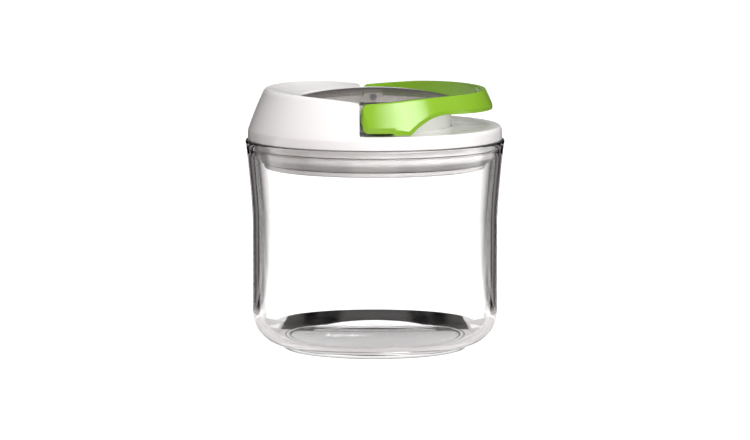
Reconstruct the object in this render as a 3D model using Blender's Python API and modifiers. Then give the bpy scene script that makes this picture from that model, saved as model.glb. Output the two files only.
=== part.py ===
"""Round food storage jar with a lever-lock lid, as an assembly of separate pieces.

Metres, +Z up. The origin is the centre of the jar's foot on the table. The lever's
hinge runs along Y, near the lid's middle, and its free end points to +X.
"""

import bmesh
import bpy
import math
from mathutils import Matrix, Vector

# Shared by all pieces
GAP = 0.0003
OVERRUN = 0.001
WELD = 0.000002
RING_STEPS = 48
SMALL_STEPS = 20
ARC_STEPS = 5
SHARP_ANGLE = math.radians(32)

# Jar
RIM_RADIUS = 0.060
JAR_HEIGHT = 0.0969
JAR_WALL = 0.003
FLARE = 0.00325
FLARE_HEIGHT = 0.039
FLARE_POWER_SHARE = 1.35
FLARE_STEPS = 4
CORNER_RADIUS = 0.0155
FOOT_INSET = 0.01415
FOOT_WIDTH = 0.003
FOOT_HEIGHT = 0.0015
FOOT_RECESS = 0.001
MOUTH_WALL = 0.0029
MOUTH_DEPTH = 0.0039
RIM_EDGE = 0.0006

# Lid cover: the lip and shelf all round, the hollow half cone on the left
LID_SETBACK = 0.0011
LID_HEIGHT = 0.0062
LIP_HEIGHT = 0.0048
CONE_SETBACK = 0.0002
CONE_LEAN = 0.0078
CONE_HEIGHT = 0.0172
CONE_BULGE = 0.0003
CONE_STEPS = 4
TOP_WIDTH = 0.0155
TOP_EDGE = 0.0009
TOP_SINK = 0.0034
SKIN = 0.0019
SHELF_THICKNESS = 0.002
COLLAR_WALL = 0.0024
SEAM_X = -0.007
DIP_DEPTH = 0.0037
DIP_RUN = 0.048
COVER_BOSS_RADIUS = 0.003
RIB_THICKNESS = 0.002
RIB_HEIGHT = 0.012

# Lid base, the plug that closes the lid from below
BASE_CLEARANCE = 0.0012
BASE_PLATE = 0.0015
BASE_RIM_WIDTH = 0.0043
BASE_RIM_DEPTH = 0.0018
BASE_BORE_CLEARANCE = 0.001
BASE_COLLAR_WIDTH = 0.0016
BASE_COLLAR_DEPTH = 0.0014

# Hub, which carries the hinge and slides in the lid
HUB_CLEARANCE = 0.0004
HUB_WALL = 0.0028
HUB_FLOOR_RISE = 0.0008
HUB_FLOOR = 0.002
SPIGOT_HEIGHT = 0.0012
HINGE_DEPTH = 0.0038
BOSS_HALF_WIDTH = 0.0042
BOSS_DEPTH = 0.0082

# Smoked window cap
CAP_SINK = 0.0003
CAP_HEIGHT = 0.0049
CAP_CROWN = 0.0036
CAP_THICKNESS = 0.0012
CAP_SKIRT = 0.0015
CAP_EDGE = 0.0006

# Hinge pins and washers
PIN_RADIUS = 0.0011
PIN_CLEARANCE = 0.0002
PIN_LENGTH = 0.020
PIN_HEAD_RADIUS = 0.0019
PIN_HEAD = 0.001
WASHER_RADIUS = 0.003
WASHER_THICKNESS = 0.0008

# Lever handle
HANDLE_WALL = 0.0026
HANDLE_END_GAP = 0.0014
HANDLE_TIP_SINK = 0.0003
HANDLE_DIP = 0.0026
HANDLE_DIP_RUN = 0.050
HANDLE_BOTTOM_CLEARANCE = 0.0015
FOOT_PAD_CLEARANCE = 0.0006
FOOT_PAD_START = 0.0084
FOOT_PAD_END = 0.0166
CUT_RUN = 0.0164
CUT_CONTROL_SHARE = 0.5
CUT_RISE = 0.0083
TIP_DROP = 0.0014
TOP_CORNER = 0.0025
BOTTOM_CORNER = 0.004
CAM_PER_RADIAN = 0.0024
CAM_CLEARANCE = 0.00057
CAM_FLAT = 0.009
CAM_BACK_ANGLE = 37.15
CAM_INSET = 0.0012
CAM_FOOT_INSET = 0.0011
CAM_STEPS = 8

# Pressure plate below the gasket
PLATE_SETBACK = 0.0046
PLATE_THICKNESS = 0.0022
PLATE_EDGE = 0.0012
TUBE_INSET = 0.0057
TUBE_WALL = 0.002
PLATE_BOSS_RADIUS = 0.003

# Gasket
GASKET_HEIGHT = 0.0065
GASKET_SEAL_DEPTH = 0.0061
GASKET_TOP_WIDTH = 0.0032
GASKET_BOTTOM_WIDTH = 0.0028

# Springs
SPRING_COUNT = 3
SPRING_CLEARANCE = 0.00045
COIL_RADIUS = 0.003
WIRE_RADIUS = 0.00035
COIL_TURNS = 4
COIL_POINTS = 9
SPRING_PIN_CLEARANCE = 0.00055
SPRING_PIN_HEIGHT = 0.002

# Screws
SCREW_RADIUS = 0.0012
SCREW_HEAD_RADIUS = 0.0025
SCREW_HEAD = 0.0016
SCREW_SOCKET_RADIUS = 0.0012
SCREW_SOCKET = 0.0009
SCREW_CLEARANCE = 0.0003
BASE_SCREW_LENGTH = 0.006
BASE_SCREW_INSET = 0.0094
BASE_SCREW_ANGLES = (45, 150, 210, 315)
PLATE_SCREW_LENGTH = 0.009
PLATE_SCREW_INSET = 0.0112
PLATE_SCREW_ANGLES = (5, 125, 245)

# Radii that follow from the sizes above
BODY_RADIUS = RIM_RADIUS - FLARE
FOOT_RADIUS = BODY_RADIUS - FOOT_INSET
LID_RADIUS = RIM_RADIUS - LID_SETBACK
CONE_TOP_RADIUS = LID_RADIUS - CONE_LEAN
BORE_RADIUS = CONE_TOP_RADIUS - TOP_WIDTH
BASE_RADIUS = RIM_RADIUS - MOUTH_WALL - BASE_CLEARANCE
HUB_RADIUS = BORE_RADIUS - HUB_CLEARANCE
PLATE_RADIUS = BASE_RADIUS - PLATE_SETBACK
TUBE_RADIUS = HUB_RADIUS - TUBE_INSET
SPRING_PITCH_RADIUS = (BORE_RADIUS + BASE_BORE_CLEARANCE + BASE_COLLAR_WIDTH + SPRING_CLEARANCE
                       + COIL_RADIUS + WIRE_RADIUS)
SPRING_PIN_RADIUS = COIL_RADIUS - WIRE_RADIUS - SPRING_PIN_CLEARANCE
BASE_SCREW_PITCH_RADIUS = BASE_RADIUS - BASE_SCREW_INSET
PLATE_SCREW_PITCH_RADIUS = HUB_RADIUS - PLATE_SCREW_INSET
HOLE_RADIUS = PIN_RADIUS + PIN_CLEARANCE
CAM_INNER_Y = HUB_RADIUS + WASHER_THICKNESS + 2 * GAP
CAM_FOOT_RADIUS = CONE_TOP_RADIUS - CAM_FOOT_INSET

# Heights and places that follow from the sizes above
LID_BOTTOM_Z = JAR_HEIGHT + GAP
SHELF_Z = LID_BOTTOM_Z + LID_HEIGHT
CONE_BASE_Z = LID_BOTTOM_Z + LIP_HEIGHT
CONE_TOP_Z = SHELF_Z + CONE_HEIGHT
BASE_TOP_Z = LID_BOTTOM_Z - GAP
BASE_UNDERSIDE_Z = BASE_TOP_Z - BASE_PLATE
BASE_RIM_Z = BASE_UNDERSIDE_Z - BASE_RIM_DEPTH
PLATE_TOP_Z = BASE_RIM_Z - GASKET_HEIGHT - 2 * GAP
PLATE_BOTTOM_Z = PLATE_TOP_Z - PLATE_THICKNESS
HUB_FLOOR_Z = LID_BOTTOM_Z + HUB_FLOOR_RISE
CAP_TOP_Z = CONE_TOP_Z - TOP_SINK - CAP_SINK
HUB_TOP_Z = CAP_TOP_Z - CAP_HEIGHT
HANDLE_TIP_TOP_Z = CONE_TOP_Z - HANDLE_TIP_SINK
HANDLE_END_X = SEAM_X + HANDLE_END_GAP
HINGE_Z = CAP_TOP_Z - HINGE_DEPTH
CAM_REACH = HINGE_Z - SHELF_Z - GAP
CAM_SIDE = CAM_REACH - CAM_PER_RADIAN * math.pi / 2
HINGE_X = SEAM_X + CAM_CLEARANCE + CAM_SIDE


def clear_scene():
    for obj in list(bpy.data.objects):
        bpy.data.objects.remove(obj, do_unlink=True)


def new_collection(name):
    collection = bpy.data.collections.new(name)
    bpy.context.scene.collection.children.link(collection)
    return collection


def plastic(name, colour, roughness, metallic=0.0, see_through=0.0):
    """A plain material; see_through makes clear and smoked plastic."""
    material = bpy.data.materials.new(name)
    material.use_nodes = True
    shader = material.node_tree.nodes["Principled BSDF"]
    shader.inputs["Base Color"].default_value = (*colour, 1.0)
    shader.inputs["Roughness"].default_value = roughness
    shader.inputs["Metallic"].default_value = metallic
    shader.inputs["Transmission Weight"].default_value = see_through
    material.diffuse_color = (*colour, 1.0 - 0.7 * see_through)
    return material


def add_object(name, mesh, collection):
    obj = bpy.data.objects.new(name, mesh)
    collection.objects.link(obj)
    return obj


def turned(name, profile, collection, steps=RING_STEPS, closed=True):
    """Profile points (radius, height) screwed round Z; the outer side runs top to bottom."""
    mesh = bpy.data.meshes.new(name)
    count = len(profile)
    edges = [(i, i + 1) for i in range(count - 1)]
    if closed:
        edges.append((count - 1, 0))
    mesh.from_pydata([(radius, 0.0, height) for radius, height in profile], edges, [])
    obj = add_object(name, mesh, collection)
    screw = obj.modifiers.new("Turn", "SCREW")
    screw.steps = steps
    screw.render_steps = steps
    screw.use_merge_vertices = True
    screw.merge_threshold = 0.00001
    return obj


def slab(name, outline, y_low, y_high, collection):
    """A flat outline of (x, z) points, as thick as the stretch of Y it covers."""
    curve = bpy.data.curves.new(name, "CURVE")
    curve.dimensions = "2D"
    curve.fill_mode = "BOTH"
    curve.extrude = (y_high - y_low) / 2
    spline = curve.splines.new("POLY")
    spline.points.add(len(outline) - 1)
    for point, (x, z) in zip(spline.points, outline):
        point.co = (x, z, 0.0, 1.0)
    spline.use_cyclic_u = True
    guide = add_object(name + "_guide", curve, collection)
    guide.location = (0.0, (y_low + y_high) / 2, 0.0)
    guide.rotation_euler = (math.pi / 2, 0.0, 0.0)
    return meshed(guide, name, collection)


def welded(obj, name):
    """The object's evaluated mesh with its doubled points joined."""
    bpy.context.view_layer.update()
    mesh = bpy.data.meshes.new_from_object(obj.evaluated_get(bpy.context.evaluated_depsgraph_get()))
    mesh.name = name
    form = bmesh.new()
    form.from_mesh(mesh)
    bmesh.ops.remove_doubles(form, verts=form.verts, dist=WELD)
    bmesh.ops.dissolve_degenerate(form, edges=form.edges, dist=WELD)
    bmesh.ops.recalc_face_normals(form, faces=form.faces)
    form.to_mesh(mesh)
    form.free()
    return mesh


def meshed(guide, name, collection):
    """A curve object made a mesh in the same place; the curve is removed."""
    mesh = welded(guide, name)
    mesh.transform(guide.matrix_world)
    bpy.data.objects.remove(guide)
    return add_object(name, mesh, collection)


def block(name, low, high, collection):
    """A box between two corners."""
    form = bmesh.new()
    bmesh.ops.create_cube(form, size=1.0)
    size = [b - a for a, b in zip(low, high)]
    middle = [(a + b) / 2 for a, b in zip(low, high)]
    bmesh.ops.scale(form, vec=size, verts=form.verts)
    bmesh.ops.translate(form, vec=middle, verts=form.verts)
    mesh = bpy.data.meshes.new(name)
    form.to_mesh(mesh)
    form.free()
    return add_object(name, mesh, collection)


def rod(name, radius, start, end, collection, steps=SMALL_STEPS):
    """A round bar from one point to another."""
    start = Vector(start)
    end = Vector(end)
    form = bmesh.new()
    length = (end - start).length
    bmesh.ops.create_cone(form, cap_ends=True, segments=steps, radius1=radius, radius2=radius, depth=length)
    turn = (end - start).to_track_quat("Z", "Y").to_matrix().to_4x4()
    form.transform(Matrix.Translation((start + end) / 2) @ turn)
    mesh = bpy.data.meshes.new(name)
    form.to_mesh(mesh)
    form.free()
    return add_object(name, mesh, collection)


def combine(obj, tool, operation):
    """Cut, join or intersect with another object, which becomes a hidden guide."""
    modifier = obj.modifiers.new(operation.title(), "BOOLEAN")
    modifier.operation = operation
    modifier.solver = "EXACT"
    modifier.object = tool
    tool.hide_render = True
    tool.display_type = "WIRE"


def settle(obj):
    """Keep the modelled shape as the object's own mesh, smooth where it is round."""
    mesh = welded(obj, obj.name)
    obj.modifiers.clear()
    obj.data = mesh
    mesh.shade_smooth()
    mesh.set_sharp_from_angle(angle=SHARP_ANGLE)
    return obj


def finish(obj, material):
    settle(obj)
    obj.data.materials.clear()
    obj.data.materials.append(material)
    return obj


def arc(centre, radius, start, end, steps=ARC_STEPS):
    """Points on an arc, angles in degrees from +X towards +Z."""
    points = []
    for i in range(steps + 1):
        angle = math.radians(start + (end - start) * i / steps)
        points.append((centre[0] + radius * math.cos(angle), centre[1] + radius * math.sin(angle)))
    return points


def at_angle(radius, degrees):
    angle = math.radians(degrees)
    return radius * math.cos(angle), radius * math.sin(angle)


def jar_outside(height):
    """The jar's outer radius, straight and then flared to the rim."""
    share = max(0.0, (height - JAR_HEIGHT + FLARE_HEIGHT) / FLARE_HEIGHT)
    return BODY_RADIUS + (RIM_RADIUS - BODY_RADIUS) * share ** FLARE_POWER_SHARE


def make_jar(collection, material):
    base_z = FOOT_HEIGHT
    corner = (BODY_RADIUS - CORNER_RADIUS, base_z + CORNER_RADIUS)
    inner_corner = CORNER_RADIUS - JAR_WALL
    mouth_radius = RIM_RADIUS - MOUTH_WALL
    ledge_z = JAR_HEIGHT - MOUTH_DEPTH
    flare_start = JAR_HEIGHT - FLARE_HEIGHT
    inner_rise = [flare_start + (ledge_z - flare_start) * i / FLARE_STEPS for i in range(FLARE_STEPS + 1)]
    outer_rise = [flare_start + (JAR_HEIGHT - RIM_EDGE - flare_start) * i / FLARE_STEPS
                  for i in range(FLARE_STEPS + 1)]
    foot_z = corner[1] - math.sqrt(CORNER_RADIUS ** 2 - max(0.0, FOOT_RADIUS - corner[0]) ** 2)
    profile = [(0.0, base_z + JAR_WALL)]
    profile += arc(corner, inner_corner, -90, 0)
    profile += [(jar_outside(z) - JAR_WALL, z) for z in inner_rise]
    profile += [(mouth_radius, ledge_z), (mouth_radius, JAR_HEIGHT)]
    profile += [(RIM_RADIUS - RIM_EDGE, JAR_HEIGHT)]
    profile += [(jar_outside(z), z) for z in reversed(outer_rise)]
    side = arc(corner, CORNER_RADIUS, 0, -90)
    profile += [point for point in side if point[0] > FOOT_RADIUS + OVERRUN]
    profile += [(FOOT_RADIUS, foot_z), (FOOT_RADIUS, 0.0), (FOOT_RADIUS - FOOT_WIDTH, 0.0)]
    profile += [(FOOT_RADIUS - FOOT_WIDTH, FOOT_RECESS), (0.0, FOOT_RECESS)]
    return finish(turned("jar", profile, collection, closed=False), material)


def cone_radius(height):
    """Outer radius of the cone that the cover's left half and the handle share."""
    share = (height - CONE_BASE_Z) / (CONE_TOP_Z - CONE_BASE_Z)
    base = LID_RADIUS - CONE_SETBACK
    return base + (CONE_TOP_RADIUS - base) * share + 4 * CONE_BULGE * share * (1 - share)


def cone_side(low, high, inset):
    """Points down the cone between two heights, moved in by inset."""
    heights = [high + (low - high) * i / CONE_STEPS for i in range(CONE_STEPS + 1)]
    return [(cone_radius(z) - inset, z) for z in heights]


def cone_cutter(name, inset, low, collection):
    """The room inside the half cone, between its wall, its top and its bore wall."""
    inner = BORE_RADIUS + inset
    outer = CONE_TOP_RADIUS - inset
    top = CONE_TOP_Z - inset
    profile = [(inner, CONE_TOP_Z - TOP_SINK - inset), (outer - TOP_EDGE, top)]
    profile += cone_side(CONE_BASE_Z, top - TOP_EDGE, inset)
    profile += [(LID_RADIUS - inset, low), (inner, low)]
    return turned(name, profile, collection)


def dip(x):
    """How far the lid's top edge falls towards the hinge."""
    return DIP_DEPTH * max(0.0, 1.0 - abs(x) / DIP_RUN) ** 2


def sink_cover_top(mesh):
    """Lower the half cone's outer top edge towards the hinge line."""
    for vertex in mesh.vertices:
        x, y, z = vertex.co
        out = (math.hypot(x, y) - BORE_RADIUS) / (CONE_TOP_RADIUS - BORE_RADIUS)
        up = (z - SHELF_Z) / (CONE_TOP_Z - TOP_EDGE - SHELF_Z)
        vertex.co.z = z - dip(x) * min(1.0, max(0.0, out)) * min(1.0, max(0.0, up))


def cover_bosses(collection, guides):
    """Screw bosses of the cover; the two on the left stand on ribs."""
    limit = cone_cutter("rib_limit", SKIN / 2, LID_BOTTOM_Z, guides)
    tools = []
    for number, degrees in enumerate(BASE_SCREW_ANGLES, 1):
        x, y = at_angle(BASE_SCREW_PITCH_RADIUS, degrees)
        left = x < SEAM_X
        top = SHELF_Z - SHELF_THICKNESS / 2
        if left:
            top = LID_BOTTOM_Z + RIB_HEIGHT
        boss = rod(f"cover_boss_{number}", COVER_BOSS_RADIUS, (x, y, LID_BOTTOM_Z), (x, y, top), guides)
        tools.append(boss)
        if left:
            rib = block(f"cover_rib_{number}", (BORE_RADIUS, -RIB_THICKNESS / 2, LID_BOTTOM_Z + GAP),
                        (LID_RADIUS, RIB_THICKNESS / 2, CONE_TOP_Z), guides)
            rib.data.transform(Matrix.Rotation(math.radians(degrees), 4, "Z"))
            combine(rib, limit, "INTERSECT")
            tools.append(rib)
    return tools


def make_cover(collection, guides, material):
    far = LID_RADIUS + OVERRUN
    profile = [(BORE_RADIUS, CONE_TOP_Z - TOP_SINK), (CONE_TOP_RADIUS - TOP_EDGE, CONE_TOP_Z)]
    profile += cone_side(CONE_BASE_Z, CONE_TOP_Z - TOP_EDGE, 0.0)
    profile += [(LID_RADIUS, CONE_BASE_Z - OVERRUN), (LID_RADIUS, LID_BOTTOM_Z), (BORE_RADIUS, LID_BOTTOM_Z)]
    cover = turned("lid_cover", profile, collection)
    handle_room = block("handle_room", (SEAM_X, -far, SHELF_Z), (far, far, CONE_TOP_Z + OVERRUN), guides)
    combine(cover, handle_room, "DIFFERENCE")
    below = LID_BOTTOM_Z - OVERRUN
    collar = BORE_RADIUS + COLLAR_WALL
    under = [(collar, SHELF_Z - SHELF_THICKNESS), (LID_RADIUS - SKIN, SHELF_Z - SHELF_THICKNESS),
             (LID_RADIUS - SKIN, below), (collar, below)]
    combine(cover, turned("shelf_hollow", under, guides), "DIFFERENCE")
    hollow = cone_cutter("cone_hollow", SKIN, below, guides)
    wall_x = SEAM_X - SKIN
    combine(hollow, block("seam_wall", (wall_x, -far, below - OVERRUN), (far, far, CONE_TOP_Z), guides), "DIFFERENCE")
    combine(cover, hollow, "DIFFERENCE")
    settle(cover)  # one mesh first, because the ribs and bosses meet several of its walls
    for tool in cover_bosses(collection, guides):
        combine(cover, tool, "UNION")
    for number, degrees in enumerate(BASE_SCREW_ANGLES, 1):
        x, y = at_angle(BASE_SCREW_PITCH_RADIUS, degrees)
        top = LID_BOTTOM_Z + BASE_SCREW_LENGTH - BASE_PLATE - SCREW_CLEARANCE
        hole = rod(f"cover_pilot_{number}", SCREW_RADIUS + SCREW_CLEARANCE, (x, y, below), (x, y, top), guides)
        combine(cover, hole, "DIFFERENCE")
    settle(cover)
    sink_cover_top(cover.data)
    return finish(cover, material)


def make_base(collection, guides, material):
    bore = BORE_RADIUS + BASE_BORE_CLEARANCE
    profile = [(bore, BASE_TOP_Z), (BASE_RADIUS, BASE_TOP_Z), (BASE_RADIUS, BASE_RIM_Z),
               (BASE_RADIUS - BASE_RIM_WIDTH, BASE_RIM_Z), (BASE_RADIUS - BASE_RIM_WIDTH, BASE_UNDERSIDE_Z),
               (bore + BASE_COLLAR_WIDTH, BASE_UNDERSIDE_Z),
               (bore + BASE_COLLAR_WIDTH, BASE_UNDERSIDE_Z - BASE_COLLAR_DEPTH),
               (bore, BASE_UNDERSIDE_Z - BASE_COLLAR_DEPTH)]
    base = turned("lid_base", profile, collection)
    middle = BASE_TOP_Z - BASE_PLATE / 2
    for number in range(SPRING_COUNT):
        x, y = at_angle(SPRING_PITCH_RADIUS, 360 * number / SPRING_COUNT)
        pin = rod(f"base_spring_pin_{number}", SPRING_PIN_RADIUS,
                  (x, y, BASE_UNDERSIDE_Z - SPRING_PIN_HEIGHT), (x, y, middle), guides)
        combine(base, pin, "UNION")
    for number, degrees in enumerate(BASE_SCREW_ANGLES, 1):
        x, y = at_angle(BASE_SCREW_PITCH_RADIUS, degrees)
        hole = rod(f"base_hole_{number}", SCREW_RADIUS + SCREW_CLEARANCE,
                   (x, y, BASE_RIM_Z), (x, y, BASE_TOP_Z + OVERRUN), guides)
        combine(base, hole, "DIFFERENCE")
    return finish(base, material)


def make_gasket(collection, material):
    """Silicone ring between the lid base and the pressure plate, bulged to the jar's wall."""
    top = BASE_RIM_Z - GAP
    bottom = PLATE_TOP_Z + GAP
    seal_z = JAR_HEIGHT - GASKET_SEAL_DEPTH
    seal_radius = jar_outside(seal_z) - JAR_WALL - GAP
    top_inner = BASE_RADIUS - BASE_RIM_WIDTH + GAP
    bottom_inner = PLATE_RADIUS - GASKET_BOTTOM_WIDTH
    rise = top - bottom
    waist = bottom + rise * 0.45
    profile = [(top_inner, top), (top_inner + GASKET_TOP_WIDTH, top)]
    profile += [(seal_radius - GAP, (top + seal_z) / 2), (seal_radius, seal_z)]
    profile += [(seal_radius - GAP, (2 * seal_z + bottom) / 3)]
    profile += [((seal_radius + PLATE_RADIUS) / 2, bottom + rise * 0.14), (PLATE_RADIUS, bottom)]
    profile += [(bottom_inner, bottom), (top_inner, waist)]
    return finish(turned("gasket", profile, collection), material)


def make_plate(collection, guides, material):
    tube_top = HUB_FLOOR_Z - GAP
    profile = [(0.0, PLATE_TOP_Z), (TUBE_RADIUS - TUBE_WALL, PLATE_TOP_Z), (TUBE_RADIUS - TUBE_WALL, tube_top),
               (TUBE_RADIUS, tube_top), (TUBE_RADIUS, PLATE_TOP_Z), (PLATE_RADIUS, PLATE_TOP_Z),
               (PLATE_RADIUS, PLATE_BOTTOM_Z + PLATE_EDGE), (PLATE_RADIUS - PLATE_EDGE, PLATE_BOTTOM_Z),
               (0.0, PLATE_BOTTOM_Z)]
    plate = turned("pressure_plate", profile, collection, closed=False)
    middle = PLATE_BOTTOM_Z + PLATE_THICKNESS / 2
    for number in range(SPRING_COUNT):
        x, y = at_angle(SPRING_PITCH_RADIUS, 360 * number / SPRING_COUNT)
        pin = rod(f"plate_spring_pin_{number}", SPRING_PIN_RADIUS,
                  (x, y, middle), (x, y, PLATE_TOP_Z + SPRING_PIN_HEIGHT), guides)
        combine(plate, pin, "UNION")
    for number, degrees in enumerate(PLATE_SCREW_ANGLES, 1):
        x, y = at_angle(PLATE_SCREW_PITCH_RADIUS, degrees)
        boss = rod(f"plate_boss_{number}", PLATE_BOSS_RADIUS, (x, y, middle), (x, y, tube_top), guides)
        combine(plate, boss, "UNION")
        end = HUB_FLOOR_Z + HUB_FLOOR - PLATE_SCREW_LENGTH - SCREW_CLEARANCE
        hole = rod(f"plate_pilot_{number}", SCREW_RADIUS + SCREW_CLEARANCE,
                   (x, y, end), (x, y, tube_top + OVERRUN), guides)
        combine(plate, hole, "DIFFERENCE")
    return finish(plate, material)


def make_hub(collection, guides, material):
    inner = HUB_RADIUS - HUB_WALL
    spigot = HUB_RADIUS - CAP_SKIRT - GAP
    floor_top = HUB_FLOOR_Z + HUB_FLOOR
    profile = [(0.0, floor_top), (inner, floor_top), (inner, HUB_TOP_Z + SPIGOT_HEIGHT),
               (spigot, HUB_TOP_Z + SPIGOT_HEIGHT), (spigot, HUB_TOP_Z), (HUB_RADIUS, HUB_TOP_Z),
               (HUB_RADIUS, HUB_FLOOR_Z), (0.0, HUB_FLOOR_Z)]
    hub = turned("hub", profile, collection, closed=False)
    boss_top = CAP_TOP_Z - CAP_THICKNESS - 2 * GAP
    round_off = HUB_RADIUS - GAP
    disc = turned("hub_limit", [(0.0, boss_top), (round_off, boss_top), (round_off, HUB_FLOOR_Z),
                                (0.0, HUB_FLOOR_Z)], guides, closed=False)
    for side, name in ((-1, "front"), (1, "rear")):
        ends = sorted((side * (HUB_RADIUS - BOSS_DEPTH), side * (HUB_RADIUS + OVERRUN)))
        boss = block(f"hub_boss_{name}", (HINGE_X - BOSS_HALF_WIDTH, ends[0], HUB_FLOOR_Z + HUB_FLOOR / 2),
                     (HINGE_X + BOSS_HALF_WIDTH, ends[1], boss_top + OVERRUN), guides)
        combine(boss, disc, "INTERSECT")
        combine(hub, boss, "UNION")
    settle(hub)  # one mesh first, because the pin bore goes through several joined walls
    reach = HUB_RADIUS + OVERRUN
    bore = rod("hub_pin_bore", HOLE_RADIUS, (HINGE_X, -reach, HINGE_Z), (HINGE_X, reach, HINGE_Z), guides)
    combine(hub, bore, "DIFFERENCE")
    for number, degrees in enumerate(PLATE_SCREW_ANGLES, 1):
        x, y = at_angle(PLATE_SCREW_PITCH_RADIUS, degrees)
        hole = rod(f"hub_hole_{number}", SCREW_RADIUS + SCREW_CLEARANCE,
                   (x, y, HUB_FLOOR_Z - OVERRUN), (x, y, floor_top + OVERRUN), guides)
        combine(hub, hole, "DIFFERENCE")
    return finish(hub, material)


def make_cap(collection, guides, material):
    """Domed smoked cap with a short skirt, notched where the hinge bosses stand."""
    under = CAP_TOP_Z - CAP_THICKNESS
    inner = HUB_RADIUS - CAP_SKIRT
    shoulder = HUB_RADIUS - CAP_EDGE
    shares = [i / 6 for i in range(7)]
    profile = [(shoulder * share, CAP_TOP_Z + CAP_CROWN * (1 - share ** 2)) for share in shares]
    profile += [(HUB_RADIUS, CAP_TOP_Z - CAP_EDGE), (HUB_RADIUS, HUB_TOP_Z + GAP), (inner, HUB_TOP_Z + GAP)]
    profile += [(inner * share, under + CAP_CROWN * (1 - share ** 2)) for share in reversed(shares)]
    cap = turned("window_cap", profile, collection, closed=False)
    for side, name in ((-1, "front"), (1, "rear")):
        ends = sorted((side * (inner - OVERRUN), side * (HUB_RADIUS + OVERRUN)))
        half = BOSS_HALF_WIDTH + GAP
        notch = block(f"cap_notch_{name}", (HINGE_X - half, ends[0], HUB_TOP_Z),
                      (HINGE_X + half, ends[1], under - GAP), guides)
        combine(cap, notch, "DIFFERENCE")
    return finish(cap, material)


def handle_top(x):
    """Height of the handle's top edge, which rises from the hinge to the tip."""
    share = max(0.0, 1.0 - (x - HANDLE_END_X) / HANDLE_DIP_RUN)
    return HANDLE_TIP_TOP_Z - HANDLE_DIP * share ** 2


def finger_cut(steps=7):
    """The curved rise from the foot pad to the handle's thin part."""
    start = (FOOT_PAD_END, SHELF_Z + FOOT_PAD_CLEARANCE)
    end = (FOOT_PAD_END + CUT_RUN, start[1] + CUT_RISE)
    bend = (start[0] + CUT_RUN * CUT_CONTROL_SHARE, end[1])
    points = []
    for i in range(steps + 1):
        t = i / steps
        points.append(tuple((1 - t) ** 2 * a + 2 * t * (1 - t) * b + t * t * c
                            for a, b, c in zip(start, bend, end)))
    return points


def handle_outline():
    """Side view of the handle, closed, running round from its top left corner."""
    far = LID_RADIUS + OVERRUN
    left = HANDLE_END_X
    bottom = SHELF_Z + HANDLE_BOTTOM_CLEARANCE
    pad = SHELF_Z + FOOT_PAD_CLEARANCE
    top_left = handle_top(left)
    cut = finger_cut()
    outline = arc((left + TOP_CORNER, top_left - TOP_CORNER), TOP_CORNER, 90, 180)
    outline += arc((left + BOTTOM_CORNER, bottom + BOTTOM_CORNER), BOTTOM_CORNER, 180, 270)
    outline += [(FOOT_PAD_START, bottom), (FOOT_PAD_START + HANDLE_BOTTOM_CLEARANCE - FOOT_PAD_CLEARANCE, pad)]
    outline += cut
    outline += [(far, cut[-1][1] - TIP_DROP)]
    reach = [far + (left + TOP_CORNER - far) * i / RING_STEPS * 4 for i in range(RING_STEPS // 4)]
    outline += [(x, handle_top(x)) for x in reach]
    return outline


def cam_outline():
    """Cam whose reach falls by the same amount for every degree the handle is lifted."""
    points = [(HINGE_X + CAM_FLAT, HINGE_Z - CAM_REACH)]
    for i in range(CAM_STEPS + 1):
        lifted = math.pi / 2 * i / CAM_STEPS
        reach = CAM_REACH - CAM_PER_RADIAN * lifted
        angle = 1.5 * math.pi - lifted
        points.append((HINGE_X + reach * math.cos(angle) - CAM_PER_RADIAN * math.sin(angle),
                       HINGE_Z + reach * math.sin(angle) + CAM_PER_RADIAN * math.cos(angle)))
    points += arc((HINGE_X, HINGE_Z), CAM_SIDE, 180, 180 - CAM_BACK_ANGLE)
    points.append((HINGE_X + CAM_FLAT, points[-1][1]))
    return points


def cam_limit(guides):
    """Keeps the cams behind the handle's outer face."""
    foot_z = SHELF_Z + HANDLE_BOTTOM_CLEARANCE + GAP
    low = SHELF_Z - OVERRUN
    profile = [(0.0, CONE_TOP_Z)] + cone_side(foot_z, CONE_TOP_Z, CAM_INSET)
    profile += [(CAM_FOOT_RADIUS, foot_z), (CAM_FOOT_RADIUS, low), (0.0, low)]
    return turned("cam_limit", profile, guides, closed=False)


def make_handle(collection, guides, material):
    low = SHELF_Z - OVERRUN
    high = CONE_TOP_Z + OVERRUN
    ring = [(cone_radius(high) - HANDLE_WALL, high)] + cone_side(low, high, 0.0)
    ring += [(cone_radius(low) - HANDLE_WALL, low)]
    handle = turned("handle", ring, collection)
    far = LID_RADIUS + OVERRUN
    combine(handle, slab("handle_side", handle_outline(), -far, far, guides), "INTERSECT")
    limit = cam_limit(guides)
    for side, name in ((-1, "front"), (1, "rear")):
        ends = sorted((side * CAM_INNER_Y, side * far))
        cam = slab(f"cam_{name}", cam_outline(), ends[0], ends[1], guides)
        combine(cam, limit, "INTERSECT")
        combine(handle, cam, "UNION")
        deep = side * (HUB_RADIUS - BOSS_DEPTH + PIN_LENGTH + GAP)
        near = side * (CAM_INNER_Y - OVERRUN)
        hole = rod(f"cam_pin_hole_{name}", HOLE_RADIUS, (HINGE_X, near, HINGE_Z), (HINGE_X, deep, HINGE_Z), guides)
        combine(handle, hole, "DIFFERENCE")
    return finish(handle, material)


def make_pin(name, side, collection, material):
    """Headed steel pin, put in from inside the hub."""
    profile = [(0.0, PIN_HEAD), (PIN_HEAD_RADIUS, PIN_HEAD), (PIN_HEAD_RADIUS, 0.0), (PIN_RADIUS, 0.0),
               (PIN_RADIUS, -PIN_LENGTH), (0.0, -PIN_LENGTH)]
    pin = turned(name, profile, collection, steps=SMALL_STEPS, closed=False)
    pin.location = (HINGE_X, side * (HUB_RADIUS - BOSS_DEPTH - GAP), HINGE_Z)
    pin.rotation_euler = (side * math.pi / 2, 0.0, 0.0)
    return finish(pin, material)


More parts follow.
